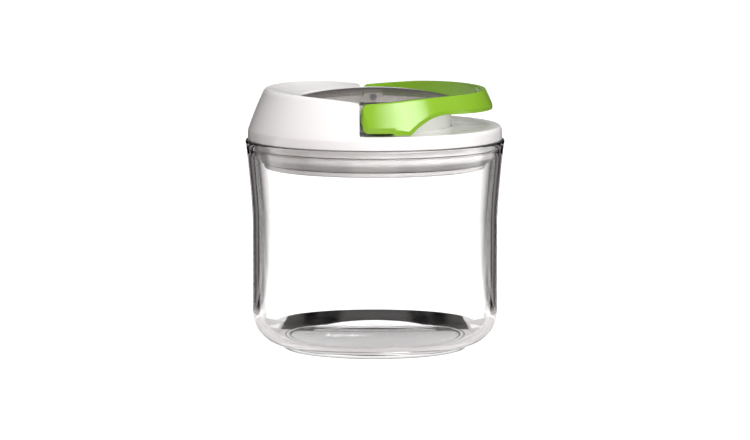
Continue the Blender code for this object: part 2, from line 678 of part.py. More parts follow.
def make_washer(name, side, collection, material):
    inner = HOLE_RADIUS
    half = WASHER_THICKNESS / 2
    profile = [(inner, half), (WASHER_RADIUS, half), (WASHER_RADIUS, -half), (inner, -half)]
    washer = turned(name, profile, collection, steps=SMALL_STEPS)
    washer.location = (HINGE_X, side * (HUB_RADIUS + GAP + half), HINGE_Z)
    washer.rotation_euler = (math.pi / 2, 0.0, 0.0)
    return finish(washer, material)


def make_screw(name, length, place, upward, collection, material):
    """Pan-head screw with a round drive recess; its head's seat is at place."""
    profile = [(0.0, SCREW_HEAD - SCREW_SOCKET), (SCREW_SOCKET_RADIUS, SCREW_HEAD - SCREW_SOCKET),
               (SCREW_SOCKET_RADIUS, SCREW_HEAD), (SCREW_HEAD_RADIUS, SCREW_HEAD), (SCREW_HEAD_RADIUS, 0.0),
               (SCREW_RADIUS, 0.0), (SCREW_RADIUS, SCREW_RADIUS - length), (0.0, -length)]
    screw = turned(name, profile, collection, steps=SMALL_STEPS, closed=False)
    screw.location = place
    if upward:
        screw.rotation_euler = (math.pi, 0.0, 0.0)
    return finish(screw, material)


def make_spring(name, place, collection, material):
    """Open compression spring; its line runs from the plate to the lid base."""
    low = PLATE_TOP_Z + GAP + WIRE_RADIUS
    high = BASE_UNDERSIDE_Z - GAP - WIRE_RADIUS
    count = COIL_TURNS * COIL_POINTS
    curve = bpy.data.curves.new(name, "CURVE")
    curve.dimensions = "3D"
    curve.bevel_depth = WIRE_RADIUS
    curve.bevel_resolution = 1
    curve.use_fill_caps = True
    spline = curve.splines.new("POLY")
    spline.points.add(count)
    for i, point in enumerate(spline.points):
        angle = math.tau * i / COIL_POINTS
        height = low + (high - low) * i / count
        point.co = (COIL_RADIUS * math.cos(angle), COIL_RADIUS * math.sin(angle), height, 1.0)
    guide = add_object(name + "_guide", curve, collection)
    guide.location = (place[0], place[1], 0.0)
    return finish(meshed(guide, name, collection), material)


def make_fasteners(collection, steel):
    seat = BASE_UNDERSIDE_Z - GAP
    for number, degrees in enumerate(BASE_SCREW_ANGLES, 1):
        x, y = at_angle(BASE_SCREW_PITCH_RADIUS, degrees)
        make_screw(f"base_screw_{number}", BASE_SCREW_LENGTH, (x, y, seat), True, collection, steel)
    seat = HUB_FLOOR_Z + HUB_FLOOR + GAP
    for number, degrees in enumerate(PLATE_SCREW_ANGLES, 1):
        x, y = at_angle(PLATE_SCREW_PITCH_RADIUS, degrees)
        make_screw(f"plate_screw_{number}", PLATE_SCREW_LENGTH, (x, y, seat), False, collection, steel)


def build():
    clear_scene()
    parts = new_collection("food_storage_jar")
    guides = new_collection("guides")
    clear = plastic("clear_acrylic", (0.95, 0.96, 0.96), 0.04, see_through=1.0)
    white = plastic("white_plastic", (0.86, 0.86, 0.85), 0.22)
    grey = plastic("plug_plastic", (0.78, 0.77, 0.76), 0.35)
    silicone = plastic("silicone", (0.80, 0.79, 0.78), 0.45)
    green = plastic("green_plastic", (0.26, 0.52, 0.03), 0.25)
    smoked = plastic("smoked_plastic", (0.16, 0.15, 0.15), 0.06, see_through=0.8)
    steel = plastic("steel", (0.62, 0.62, 0.63), 0.3, metallic=1.0)
    acetal = plastic("washer_plastic", (0.70, 0.70, 0.68), 0.4)
    make_jar(parts, clear)
    make_cover(parts, guides, white)
    make_base(parts, guides, grey)
    make_gasket(parts, silicone)
    make_plate(parts, guides, grey)
    make_hub(parts, guides, white)
    make_cap(parts, guides, smoked)
    make_handle(parts, guides, green)
    for side, name in ((-1, "front"), (1, "rear")):
        make_pin(f"hinge_pin_{name}", side, parts, steel)
        make_washer(f"hinge_washer_{name}", side, parts, acetal)
    for number in range(SPRING_COUNT):
        place = at_angle(SPRING_PITCH_RADIUS, 360 * number / SPRING_COUNT)
        make_spring(f"spring_{number + 1}", place, parts, steel)
    make_fasteners(parts, steel)


build()
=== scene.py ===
"""Round food storage jar with a lever-lock lid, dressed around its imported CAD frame.

Metres, +Z up. The jar's foot stands on z 0, the lever's hinge runs along Y, and its
free end points to +X. The file follows the jar as it is put together, from the bottom.
"""

import math

import bmesh
import bpy
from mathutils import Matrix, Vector


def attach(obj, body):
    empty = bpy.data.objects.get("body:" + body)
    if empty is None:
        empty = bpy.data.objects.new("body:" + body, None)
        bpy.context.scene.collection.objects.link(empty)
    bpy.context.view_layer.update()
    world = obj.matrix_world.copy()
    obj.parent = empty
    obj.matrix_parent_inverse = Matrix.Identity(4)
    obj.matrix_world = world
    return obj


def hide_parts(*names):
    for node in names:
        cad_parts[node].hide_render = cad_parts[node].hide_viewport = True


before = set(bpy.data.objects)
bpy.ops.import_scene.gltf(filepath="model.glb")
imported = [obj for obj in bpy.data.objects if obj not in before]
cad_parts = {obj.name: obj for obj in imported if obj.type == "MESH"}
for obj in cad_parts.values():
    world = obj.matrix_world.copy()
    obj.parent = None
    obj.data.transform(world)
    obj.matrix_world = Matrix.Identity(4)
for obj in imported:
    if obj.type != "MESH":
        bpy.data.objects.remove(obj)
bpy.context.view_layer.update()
bpy.ops.object.select_all(action="DESELECT")


# Jar
# A clear acrylic moulding with a 3 mm wall, polished inside and out. It flares a little
# to the rim, has a rounded bottom corner, and stands on a low foot ring. The lid's seal
# squeezes against its wall, and nothing is fixed to it.
GAP = 0.0003
SEED_SIZE = 0.001
WELD = 0.000002
RING_STEPS = 192
JAR_HEIGHT = 0.0969
RIM_RADIUS = 0.060
JAR_FLARE = 0.00325
FLARE_HEIGHT = 0.039
FLARE_POWER = 1.35
FLARE_STEPS = 12
JAR_WALL = 0.003
JAR_CORNER = 0.0155
JAR_BASE_Z = 0.0015
FOOT_RADIUS = 0.0426
FOOT_WIDTH = 0.003
FOOT_RECESS = 0.001
FOOT_EDGE = 0.0006
MOUTH_RADIUS = 0.0571
MOUTH_LEDGE_Z = 0.093
RIM_EDGE = 0.0007
JAR_SHARP = 24
ACRYLIC_IOR = 1.49
ACRYLIC_TONES = ((0.982, 0.985, 0.984), (0.994, 0.996, 0.996))
ACRYLIC_FLOW = (14, 2, (1, 1, 0.4))
ACRYLIC_WEAR = (90, 4)
ACRYLIC_ROUGHNESS = (0.0, 0.014)
NOISE_SPAN = (0.35, 0.65)


def between(start, end, steps):
    """Evenly spaced numbers from one to another, with both."""
    return [start + (end - start) * i / steps for i in range(steps + 1)]


def arc(centre, radius, start, end, steps):
    """Points on an arc in the profile plane, in degrees from outwards to up."""
    angles = [math.radians(degrees) for degrees in between(start, end, steps)]
    return [(centre[0] + radius * math.cos(a), centre[1] + radius * math.sin(a)) for a in angles]


def drawn(name, points):
    """A line through points, extruded from one vertex; the object stays in edit mode."""
    bpy.ops.object.select_all(action="DESELECT")
    bpy.ops.mesh.primitive_plane_add(size=SEED_SIZE)
    piece = bpy.context.object
    piece.name = name
    piece.data.name = name
    bpy.ops.object.mode_set(mode="EDIT")
    bpy.ops.mesh.select_all(action="SELECT")
    bpy.ops.mesh.merge(type="CENTER")
    bpy.ops.transform.translate(value=points[0])
    for here, there in zip(points, points[1:]):
        step = Vector(there) - Vector(here)
        bpy.ops.mesh.extrude_region_move(TRANSFORM_OT_translate={"value": step})
    return piece


def turned(name, profile):
    """A profile of (radius, height) points spun round the Z axis into a closed solid."""
    piece = drawn(name, [(radius, 0, height) for radius, height in profile])
    bpy.ops.mesh.select_all(action="SELECT")
    bpy.ops.mesh.spin(steps=RING_STEPS, angle=math.tau, center=(0, 0, 0), axis=(0, 0, 1))
    bpy.ops.mesh.select_all(action="SELECT")
    bpy.ops.mesh.remove_doubles(threshold=WELD)
    bpy.ops.mesh.normals_make_consistent(inside=False)
    bpy.ops.object.mode_set(mode="OBJECT")
    return piece


def smooth(piece, degrees):
    """Smooth shading that keeps the edges sharper than an angle."""
    bpy.ops.object.select_all(action="DESELECT")
    piece.select_set(True)
    bpy.context.view_layer.objects.active = piece
    bpy.ops.object.shade_smooth_by_angle(angle=math.radians(degrees))


def jar_outside(height):
    """The jar's outer radius at a height."""
    share = max(0.0, (height - JAR_HEIGHT + FLARE_HEIGHT) / FLARE_HEIGHT)
    return RIM_RADIUS - JAR_FLARE + JAR_FLARE * share ** FLARE_POWER


corner = (RIM_RADIUS - JAR_FLARE - JAR_CORNER, JAR_BASE_Z + JAR_CORNER)
flare_start = JAR_HEIGHT - FLARE_HEIGHT
inner_heights = between(flare_start, MOUTH_LEDGE_Z, FLARE_STEPS)
outer_heights = between(JAR_HEIGHT - RIM_EDGE, flare_start, FLARE_STEPS)
jar_profile = [(0, JAR_BASE_Z + JAR_WALL)]
jar_profile += arc(corner, JAR_CORNER - JAR_WALL, -90, 0, 16)
jar_profile += [(jar_outside(z) - JAR_WALL, z) for z in inner_heights[1:-1]]
ledge_radius = jar_outside(MOUTH_LEDGE_Z) - JAR_WALL + GAP
jar_profile += arc((ledge_radius, MOUTH_LEDGE_Z - GAP), GAP, 180, 90, 3)
jar_profile += [(MOUTH_RADIUS, MOUTH_LEDGE_Z)]
jar_profile += arc((MOUTH_RADIUS + RIM_EDGE, JAR_HEIGHT - RIM_EDGE), RIM_EDGE, 180, 90, 4)
jar_profile += arc((RIM_RADIUS - RIM_EDGE, JAR_HEIGHT - RIM_EDGE), RIM_EDGE, 90, 0, 4)
jar_profile += [(jar_outside(z), z) for z in outer_heights[1:-1]]
foot_drop = math.sqrt(JAR_CORNER ** 2 - (FOOT_RADIUS - corner[0]) ** 2)
outer_corner = arc(corner, JAR_CORNER, 0, -90, 24)
jar_profile += [point for point in outer_corner if point[0] > FOOT_RADIUS + FOOT_EDGE]
jar_profile += [(FOOT_RADIUS, corner[1] - foot_drop)]
jar_profile += arc((FOOT_RADIUS - FOOT_EDGE, FOOT_EDGE), FOOT_EDGE, 0, -90, 4)
jar_profile += arc((FOOT_RADIUS - FOOT_WIDTH + FOOT_EDGE, FOOT_EDGE), FOOT_EDGE, -90, -180, 4)
jar_profile += [(FOOT_RADIUS - FOOT_WIDTH, FOOT_RECESS), (0, FOOT_RECESS)]
clear_jar = turned("clear_jar", jar_profile)
smooth(clear_jar, JAR_SHARP)


def new_material(name):
    """A node material, its node tree and its shader."""
    material = bpy.data.materials.new(name)
    material.use_nodes = True
    return material, material.node_tree, material.node_tree.nodes["Principled BSDF"]


def object_noise(tree, scale, detail, stretch=(1, 1, 1)):
    """Noise on the piece's own coordinates, stretched along its axes."""
    place = tree.nodes.new("ShaderNodeTexCoord")
    mapping = tree.nodes.new("ShaderNodeMapping")
    mapping.inputs["Scale"].default_value = stretch
    noise = tree.nodes.new("ShaderNodeTexNoise")
    noise.inputs["Scale"].default_value = scale
    noise.inputs["Detail"].default_value = detail
    tree.links.new(place.outputs["Object"], mapping.inputs["Vector"])
    tree.links.new(mapping.outputs["Vector"], noise.inputs["Vector"])
    return noise.outputs["Fac"]


def spread(tree, source, low, high, span=NOISE_SPAN):
    """Two numbers and what lies between them, as a value goes through a span."""
    ranged = tree.nodes.new("ShaderNodeMapRange")
    ranged.inputs["From Min"].default_value = span[0]
    ranged.inputs["From Max"].default_value = span[1]
    ranged.inputs["To Min"].default_value = low
    ranged.inputs["To Max"].default_value = high
    tree.links.new(source, ranged.inputs["Value"])
    return ranged.outputs["Result"]


def two_tone(tree, source, dark, light):
    """A colour from one tone to another, as a value goes through the noise's span."""
    ramp = tree.nodes.new("ShaderNodeValToRGB")
    ramp.color_ramp.elements[0].position = NOISE_SPAN[0]
    ramp.color_ramp.elements[0].color = (*dark, 1)
    ramp.color_ramp.elements[1].position = NOISE_SPAN[1]
    ramp.color_ramp.elements[1].color = (*light, 1)
    tree.links.new(source, ramp.inputs["Fac"])
    return ramp.outputs["Color"]


def worn(tree, shader, tones, cloud, wear, roughness):
    """Drifts the colour between two tones, roughens it unevenly and returns the wear."""
    tint = two_tone(tree, object_noise(tree, *cloud), *tones)
    tree.links.new(tint, shader.inputs["Base Color"])
    marks = object_noise(tree, *wear)
    tree.links.new(spread(tree, marks, *roughness), shader.inputs["Roughness"])
    return marks


def bumped(tree, source, distance, strength):
    """A fine relief from a value, into the shader's normal."""
    bump = tree.nodes.new("ShaderNodeBump")
    bump.inputs["Distance"].default_value = distance
    bump.inputs["Strength"].default_value = strength
    tree.links.new(source, bump.inputs["Height"])
    tree.links.new(bump.outputs["Normal"], tree.nodes["Principled BSDF"].inputs["Normal"])


def dressed(piece, material, body, slot, *nodes):
    """Gives a finished piece its material and body and hides the CAD nodes it replaces; the finish
    slot is not used.
    """
    piece.data.materials.clear()
    piece.data.materials.append(material)
    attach(piece, body)
    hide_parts(*nodes)


acrylic, tree, shader = new_material("clear_acrylic")
shader.inputs["IOR"].default_value = ACRYLIC_IOR
shader.inputs["Transmission Weight"].default_value = 1.0
worn(tree, shader, ACRYLIC_TONES, ACRYLIC_FLOW, ACRYLIC_WEAR, ACRYLIC_ROUGHNESS)
clear_jar.visible_shadow = False
dressed(clear_jar, acrylic, "jar", "clear_acrylic", "jar")


# Pressure plate
# A grey-white moulded disc that lifts and squeezes the gasket. Its tube and three bosses
# carry the screws that come down through the hub, and three short pins centre the springs.
PLATE_RADIUS = 0.0513
PLATE_BOTTOM_Z = 0.0843
PLATE_TOP_Z = 0.0865
PLATE_EDGE = 0.0012
TUBE_RADIUS = 0.0295
TUBE_WALL = 0.002
TUBE_TOP_Z = 0.0977
SPRING_PITCH = 0.042
SPRING_ANGLES = (0, 120, 240)
SPRING_PIN_RADIUS = 0.0021
SPRING_PIN_HEIGHT = 0.002
PLATE_SCREW_PITCH = 0.024
PLATE_SCREW_ANGLES = (5, 125, 245)
BOSS_RADIUS = 0.003
SCREW_HOLE_RADIUS = 0.0015
PLATE_HOLE_Z = 0.0907
FINE_EDGE = 0.00025
EDGE_STEPS = 3
EDGE_SHARP = 40
EDGE_WELD = 0.00001
ROD_SIDES = 32
PLASTIC_IOR = 1.5
PLUG_TONES = ((0.79, 0.77, 0.765), (0.84, 0.825, 0.82))
PLUG_CLOUD = (22, 3)
PLUG_GRAIN = (1400, 3)
PLUG_ROUGHNESS = (0.30, 0.42)
PLUG_RELIEF = (0.00002, 0.3)


def at_angle(radius, degrees):
    """The x and y of a place on a pitch circle."""
    return radius * math.cos(math.radians(degrees)), radius * math.sin(math.radians(degrees))


def rod(name, radius, low, high, place):
    """An upright round bar between two heights, used to join or cut."""
    bpy.ops.object.select_all(action="DESELECT")
    middle = (place[0], place[1], (low + high) / 2)
    bpy.ops.mesh.primitive_cylinder_add(vertices=ROD_SIDES, radius=radius, depth=high - low,
                                        location=middle)
    bpy.context.object.name = name
    return bpy.context.object


def combined(piece, tool, operation):
    """Joins, cuts or limits a piece with another solid, which is then deleted."""
    bpy.ops.object.select_all(action="DESELECT")
    bpy.context.view_layer.objects.active = piece
    piece.select_set(True)
    cut = piece.modifiers.new(operation.title(), "BOOLEAN")
    cut.operation = operation
    cut.solver = "EXACT"
    cut.object = tool
    bpy.ops.object.modifier_apply(modifier=cut.name)
    bpy.data.objects.remove(tool)


def evened(piece):
    """Lets the large faces lead the shading of the small ones beside them."""
    bpy.ops.object.select_all(action="DESELECT")
    bpy.context.view_layer.objects.active = piece
    piece.select_set(True)
    settled = piece.modifiers.new("Shading", "WEIGHTED_NORMAL")
    settled.keep_sharp = True
    bpy.ops.object.modifier_apply(modifier=settled.name)


def eased(piece, width, degrees=EDGE_SHARP):
    """Rounds the edges sharper than an angle and shades the piece smooth."""
    bpy.ops.object.select_all(action="DESELECT")
    bpy.context.view_layer.objects.active = piece
    piece.select_set(True)
    bpy.ops.object.mode_set(mode="EDIT")
    bpy.ops.mesh.select_all(action="SELECT")
    bpy.ops.mesh.remove_doubles(threshold=EDGE_WELD)
    bpy.ops.object.mode_set(mode="OBJECT")
    bevel = piece.modifiers.new("Edge", "BEVEL")
    bevel.width = width
    bevel.segments = EDGE_STEPS
    bevel.limit_method = "ANGLE"
    bevel.angle_limit = math.radians(degrees)
    bevel.use_clamp_overlap = False
    bevel.harden_normals = False
    bpy.ops.object.modifier_apply(modifier=bevel.name)
    smooth(piece, degrees)
    evened(piece)


tube_bore = TUBE_RADIUS - TUBE_WALL
plate_profile = [(0, PLATE_TOP_Z), (tube_bore, PLATE_TOP_Z), (tube_bore, TUBE_TOP_Z),
                 (TUBE_RADIUS, TUBE_TOP_Z), (TUBE_RADIUS, PLATE_TOP_Z), (PLATE_RADIUS, PLATE_TOP_Z)]
plate_profile += arc((PLATE_RADIUS - PLATE_EDGE, PLATE_BOTTOM_Z + PLATE_EDGE), PLATE_EDGE, 0, -90, 8)
plate_profile += [(0, PLATE_BOTTOM_Z)]
press_disc = turned("press_disc", plate_profile)
plate_middle = (PLATE_BOTTOM_Z + PLATE_TOP_Z) / 2
for degrees in SPRING_ANGLES:
    place = at_angle(SPRING_PITCH, degrees)
    pin = rod("pin", SPRING_PIN_RADIUS, plate_middle, PLATE_TOP_Z + SPRING_PIN_HEIGHT, place)
    combined(press_disc, pin, "UNION")
for degrees in PLATE_SCREW_ANGLES:
    place = at_angle(PLATE_SCREW_PITCH, degrees)
    combined(press_disc, rod("boss", BOSS_RADIUS, plate_middle, TUBE_TOP_Z, place), "UNION")
    hole = rod("hole", SCREW_HOLE_RADIUS, PLATE_HOLE_Z, TUBE_TOP_Z + GAP, place)
    combined(press_disc, hole, "DIFFERENCE")
eased(press_disc, FINE_EDGE)

plug_plastic, tree, shader = new_material("plug_plastic")
shader.inputs["IOR"].default_value = PLASTIC_IOR
grain = worn(tree, shader, PLUG_TONES, PLUG_CLOUD, PLUG_GRAIN, PLUG_ROUGHNESS)
bumped(tree, grain, *PLUG_RELIEF)
dressed(press_disc, plug_plastic, "plunger", "plug_plastic", "pressure_plate")


# Lid base
# The grey-white plug that closes the mouth from below. It is a flat moulded ring with a
# deep rim for the gasket, a collar round the hub's bore and three spring pins. Four
# screws hold it to the cover.
BASE_RADIUS = 0.0559
BASE_TOP_Z = 0.0969
BASE_UNDERSIDE_Z = 0.0954
BASE_RIM_Z = 0.0936
BASE_RIM_WIDTH = 0.0043
BASE_BORE = 0.0366
BASE_COLLAR_WIDTH = 0.0016
BASE_COLLAR_DEPTH = 0.0014
BASE_SCREW_PITCH = 0.0465
BASE_SCREW_ANGLES = (45, 150, 210, 315)

base_rim = BASE_RADIUS - BASE_RIM_WIDTH
base_collar = BASE_BORE + BASE_COLLAR_WIDTH
collar_z = BASE_UNDERSIDE_Z - BASE_COLLAR_DEPTH
base_profile = [(BASE_BORE, BASE_TOP_Z), (BASE_RADIUS, BASE_TOP_Z), (BASE_RADIUS, BASE_RIM_Z),
                (base_rim, BASE_RIM_Z), (base_rim, BASE_UNDERSIDE_Z), (base_collar, BASE_UNDERSIDE_Z),
                (base_collar, collar_z), (BASE_BORE, collar_z), (BASE_BORE, BASE_TOP_Z)]
lid_plug = turned("lid_plug", base_profile)
base_middle = (BASE_TOP_Z + BASE_UNDERSIDE_Z) / 2
for degrees in SPRING_ANGLES:
    place = at_angle(SPRING_PITCH, degrees)
    pin = rod("pin", SPRING_PIN_RADIUS, BASE_UNDERSIDE_Z - SPRING_PIN_HEIGHT, base_middle, place)
    combined(lid_plug, pin, "UNION")
for degrees in BASE_SCREW_ANGLES:
    place = at_angle(BASE_SCREW_PITCH, degrees)
    hole = rod("hole", SCREW_HOLE_RADIUS, BASE_RIM_Z, BASE_TOP_Z + GAP, place)
    combined(lid_plug, hole, "DIFFERENCE")
eased(lid_plug, FINE_EDGE)
dressed(lid_plug, plug_plastic, "lid", "plug_plastic", "lid_base")


# Gasket
# A soft silicone ring between the plug's rim and the pressure plate. Squeezed, as here,
# it bulges to the jar's wall; it stretches back when the plate drops.
GASKET_TOP_Z = 0.0933
GASKET_BOTTOM_Z = 0.0868
GASKET_SEAL_Z = 0.0908
GASKET_INNER = 0.0519
GASKET_TOP_WIDTH = 0.0032
GASKET_FOOT_WIDTH = 0.0028
GASKET_BEAD = 0.0016
GASKET_BEAD_TURN = 62
GASKET_SHOULDER_Z = 0.0878
GASKET_ARM_Z = 0.0897
GASKET_SHARP = 30
SILICONE_IOR = 1.41
SILICONE_DEPTH = (0.002, 0.0018, 0.0016)
SILICONE_SHARE = 0.2
SILICONE_TONES = ((0.67, 0.655, 0.65), (0.71, 0.695, 0.69))
SILICONE_CLOUD = (30, 2)
SILICONE_DUST = (700, 4)
SILICONE_ROUGHNESS = (0.40, 0.52)
SILICONE_RELIEF = (0.00003, 0.4)

seal_radius = jar_outside(GASKET_SEAL_Z) - JAR_WALL - GAP
gasket_profile = [(GASKET_INNER, GASKET_TOP_Z), (GASKET_INNER + GASKET_TOP_WIDTH, GASKET_TOP_Z)]
gasket_profile += arc((seal_radius - GASKET_BEAD, GASKET_SEAL_Z), GASKET_BEAD,
                      GASKET_BEAD_TURN, -GASKET_BEAD_TURN, 10)
gasket_profile += [((seal_radius + PLATE_RADIUS) / 2, GASKET_SHOULDER_Z),
                   (PLATE_RADIUS, GASKET_BOTTOM_Z),
                   (PLATE_RADIUS - GASKET_FOOT_WIDTH, GASKET_BOTTOM_Z),
                   (GASKET_INNER, GASKET_ARM_Z), (GASKET_INNER, GASKET_TOP_Z)]
seal_ring = turned("seal_ring", gasket_profile)
eased(seal_ring, FINE_EDGE, GASKET_SHARP)

silicone, tree, shader = new_material("soft_silicone")
shader.inputs["IOR"].default_value = SILICONE_IOR
shader.inputs["Subsurface Weight"].default_value = SILICONE_SHARE
shader.inputs["Subsurface Radius"].default_value = SILICONE_DEPTH
dust = worn(tree, shader, SILICONE_TONES, SILICONE_CLOUD, SILICONE_DUST, SILICONE_ROUGHNESS)
bumped(tree, dust, *SILICONE_RELIEF)
dressed(seal_ring, silicone, "lid", "silicone", "gasket")


# Lid cover
# A glossy white moulding. A lip and shelf run all round; the left half stands up as a
# hollow half cone whose top sinks to the window and dips towards the hinge. Its end wall,
# the seam, has rounded corners, and ribs and screw bosses stand inside it.
LID_BOTTOM_Z = 0.0972
LID_RADIUS = 0.0589
SHELF_Z = 0.1034
SHELF_THICKNESS = 0.002
CONE_BASE_Z = 0.102
CONE_BASE_RADIUS = 0.0587
CONE_TOP_RADIUS = 0.0511
CONE_TOP_Z = 0.1206
CONE_BULGE = 0.0003
CONE_STEPS = 12
LIP_STEP = 0.001
TOP_EDGE = 0.0009
BORE_RADIUS = 0.0356
BORE_TOP_Z = 0.1172
SKIN = 0.0019
COLLAR_WALL = 0.0024
SEAM_X = -0.007
SEAM_CORNER = 0.0013
SEAM_TURN = 70
SEAM_TOP_Z = 0.1179
SEAM_FILLET = 0.0008
DIP_DEPTH = 0.0037
DIP_RUN = 0.048
DIP_CAGE = (29, 25)
SHELF_EDGE = 0.0009
SHELF_EDGE_STEPS = 5
COVER_EDGE = 0.0004
COVER_SHARP = 35
COARSE_WELD = 0.00002
RIB_THICKNESS = 0.002
RIB_TOP_Z = 0.1092
BOSS_HOLE_DEPTH = 0.0042
HIGH_Z = 0.130
FAR = 0.070
OVERRUN = 0.001
WHITE_TONES = ((0.87, 0.862, 0.858), (0.90, 0.894, 0.89))
WHITE_CLOUD = (16, 2)
WHITE_HANDLING = (160, 5)
WHITE_ROUGHNESS = (0.14, 0.24)
WHITE_WAVE = (60, 1)
WHITE_COAT = (0.15, 0.05)
MOULD_RELIEF = (0.00002, 0.15)


def cone_radius(height):
    """Outer radius of the cone that the cover's left half and the lever share."""
    share = (height - CONE_BASE_Z) / (CONE_TOP_Z - CONE_BASE_Z)
    return (CONE_BASE_RADIUS + (CONE_TOP_RADIUS - CONE_BASE_RADIUS) * share
            + 4 * CONE_BULGE * share * (1 - share))


def cone_side(low, high, inset):
    """Profile points down the cone between two heights, moved in by inset."""
    return [(cone_radius(z) - inset, z) for z in between(high, low, CONE_STEPS)]


def slab(name, outline, y_low, y_high):
    """An outline of (x, z) points, filled and extruded along Y into a solid."""
    piece = drawn(name, [(x, y_low, z) for x, z in outline])
    bpy.ops.mesh.select_all(action="SELECT")
    bpy.ops.mesh.edge_face_add()
    bpy.ops.mesh.extrude_region_move(TRANSFORM_OT_translate={"value": (0, y_high - y_low, 0)})
    bpy.ops.mesh.select_all(action="SELECT")
    bpy.ops.mesh.normals_make_consistent(inside=False)
    bpy.ops.object.mode_set(mode="OBJECT")
    return piece


def block(name, low, high):
    """A box between two corners, used to join or cut."""
    bpy.ops.object.select_all(action="DESELECT")
    middle = [(a + b) / 2 for a, b in zip(low, high)]
    bpy.ops.mesh.primitive_cube_add(size=1, location=middle, scale=[b - a for a, b in zip(low, high)])
    bpy.context.object.name = name
    return bpy.context.object


def dipped(piece):
    """Sinks a piece's outer top edge towards the hinge line with a lattice cage."""
    bpy.ops.object.select_all(action="DESELECT")
    bpy.ops.object.add(type="LATTICE", location=(0, 0, (SHELF_Z + CONE_TOP_Z) / 2))
    cage = bpy.context.object
    cage.scale = (2 * FAR, 2 * LID_RADIUS, CONE_TOP_Z - SHELF_Z)
    cage.data.points_u, cage.data.points_v, cage.data.points_w = *DIP_CAGE, 2
    cage.data.interpolation_type_u = "KEY_CATMULL_ROM"
    cage.data.interpolation_type_v = "KEY_LINEAR"
    cage.data.interpolation_type_w = "KEY_LINEAR"
    for point in cage.data.points:
        x = point.co.x * cage.scale.x
        y = point.co.y * cage.scale.y
        if point.co.z > 0:
            drop = DIP_DEPTH * max(0.0, 1 - abs(x) / DIP_RUN) ** 2
            out = (math.hypot(x, y) - BORE_RADIUS) / (CONE_TOP_RADIUS - BORE_RADIUS)
            out = min(1.0, max(0.0, out))
            point.co_deform.z -= drop * out / cage.scale.z
    bpy.ops.object.select_all(action="DESELECT")
    bpy.context.view_layer.objects.active = piece
    piece.select_set(True)
    sink = piece.modifiers.new("Dip", "LATTICE")
    sink.object = cage
    bpy.ops.object.modifier_apply(modifier=sink.name)
    bpy.data.objects.remove(cage)


cover_profile = [(BORE_RADIUS, LID_BOTTOM_Z)]
cover_profile += zip(between(BORE_RADIUS, CONE_TOP_RADIUS - TOP_EDGE, 8)[:-1],
                     between(BORE_TOP_Z, CONE_TOP_Z, 8)[:-1])
cover_profile += arc((CONE_TOP_RADIUS - TOP_EDGE, CONE_TOP_Z - TOP_EDGE), TOP_EDGE, 100, 20, 5)
cover_profile += cone_side(CONE_BASE_Z, CONE_TOP_Z - TOP_EDGE, 0.0)
cover_profile += [(LID_RADIUS, CONE_BASE_Z - LIP_STEP), (LID_RADIUS, LID_BOTTOM_Z),
                  (BORE_RADIUS, LID_BOTTOM_Z)]
cover_shell = turned("cover_shell", cover_profile)
dipped(cover_shell)

room_outline = arc((SEAM_X + SEAM_FILLET, SHELF_Z + SEAM_FILLET), SEAM_FILLET, 270, 180, 4)
room_outline += arc((SEAM_X - SEAM_CORNER, SEAM_TOP_Z - SEAM_CORNER), SEAM_CORNER, 0, SEAM_TURN, 6)
corner_x, corner_z = room_outline[-1]
slope_run = (HIGH_Z - corner_z) * math.tan(math.radians(SEAM_TURN))
room_outline += [(corner_x - slope_run, HIGH_Z), (FAR, HIGH_Z), (FAR, SHELF_Z)]
combined(cover_shell, slab("handle_room", room_outline, -FAR, FAR), "DIFFERENCE")

below = LID_BOTTOM_Z - OVERRUN
shelf_under = SHELF_Z - SHELF_THICKNESS
collar = BORE_RADIUS + COLLAR_WALL
shelf_hollow = [(collar, shelf_under), (LID_RADIUS - SKIN, shelf_under), (LID_RADIUS - SKIN, below),
                (collar, below), (collar, shelf_under)]
combined(cover_shell, turned("shelf_hollow", shelf_hollow), "DIFFERENCE")
inside = BORE_RADIUS + SKIN
cone_hollow = [(inside, BORE_TOP_Z - SKIN), (CONE_TOP_RADIUS - SKIN - TOP_EDGE, CONE_TOP_Z - SKIN)]
cone_hollow += cone_side(CONE_BASE_Z, CONE_TOP_Z - SKIN - TOP_EDGE, SKIN)
cone_hollow += [(LID_RADIUS - SKIN, below), (inside, below), (inside, BORE_TOP_Z - SKIN)]
hollow = turned("cone_hollow", cone_hollow)
dipped(hollow)
seam_wall = block("seam_wall", (SEAM_X - SKIN, -FAR, below - OVERRUN), (FAR, FAR, HIGH_Z))
combined(hollow, seam_wall, "DIFFERENCE")
combined(cover_shell, hollow, "DIFFERENCE")
for degrees in BASE_SCREW_ANGLES:
    place = at_angle(BASE_SCREW_PITCH, degrees)
    top = RIB_TOP_Z if place[0] < SEAM_X else SHELF_Z - SHELF_THICKNESS / 2
    combined(cover_shell, rod("boss", BOSS_RADIUS, LID_BOTTOM_Z, top, place), "UNION")
    if place[0] < SEAM_X:
        rib = block("rib", (BORE_RADIUS + SKIN / 2, -RIB_THICKNESS / 2, LID_BOTTOM_Z + GAP),
                    (CONE_TOP_RADIUS, RIB_THICKNESS / 2, RIB_TOP_Z))
        bpy.ops.object.select_all(action="DESELECT")
        rib.select_set(True)
        bpy.ops.transform.rotate(value=-math.radians(degrees), orient_axis="Z",
                                 center_override=(0, 0, 0))
        combined(cover_shell, rib, "UNION")
    hole = rod("hole", SCREW_HOLE_RADIUS, below, LID_BOTTOM_Z + BOSS_HOLE_DEPTH, place)
    combined(cover_shell, hole, "DIFFERENCE")

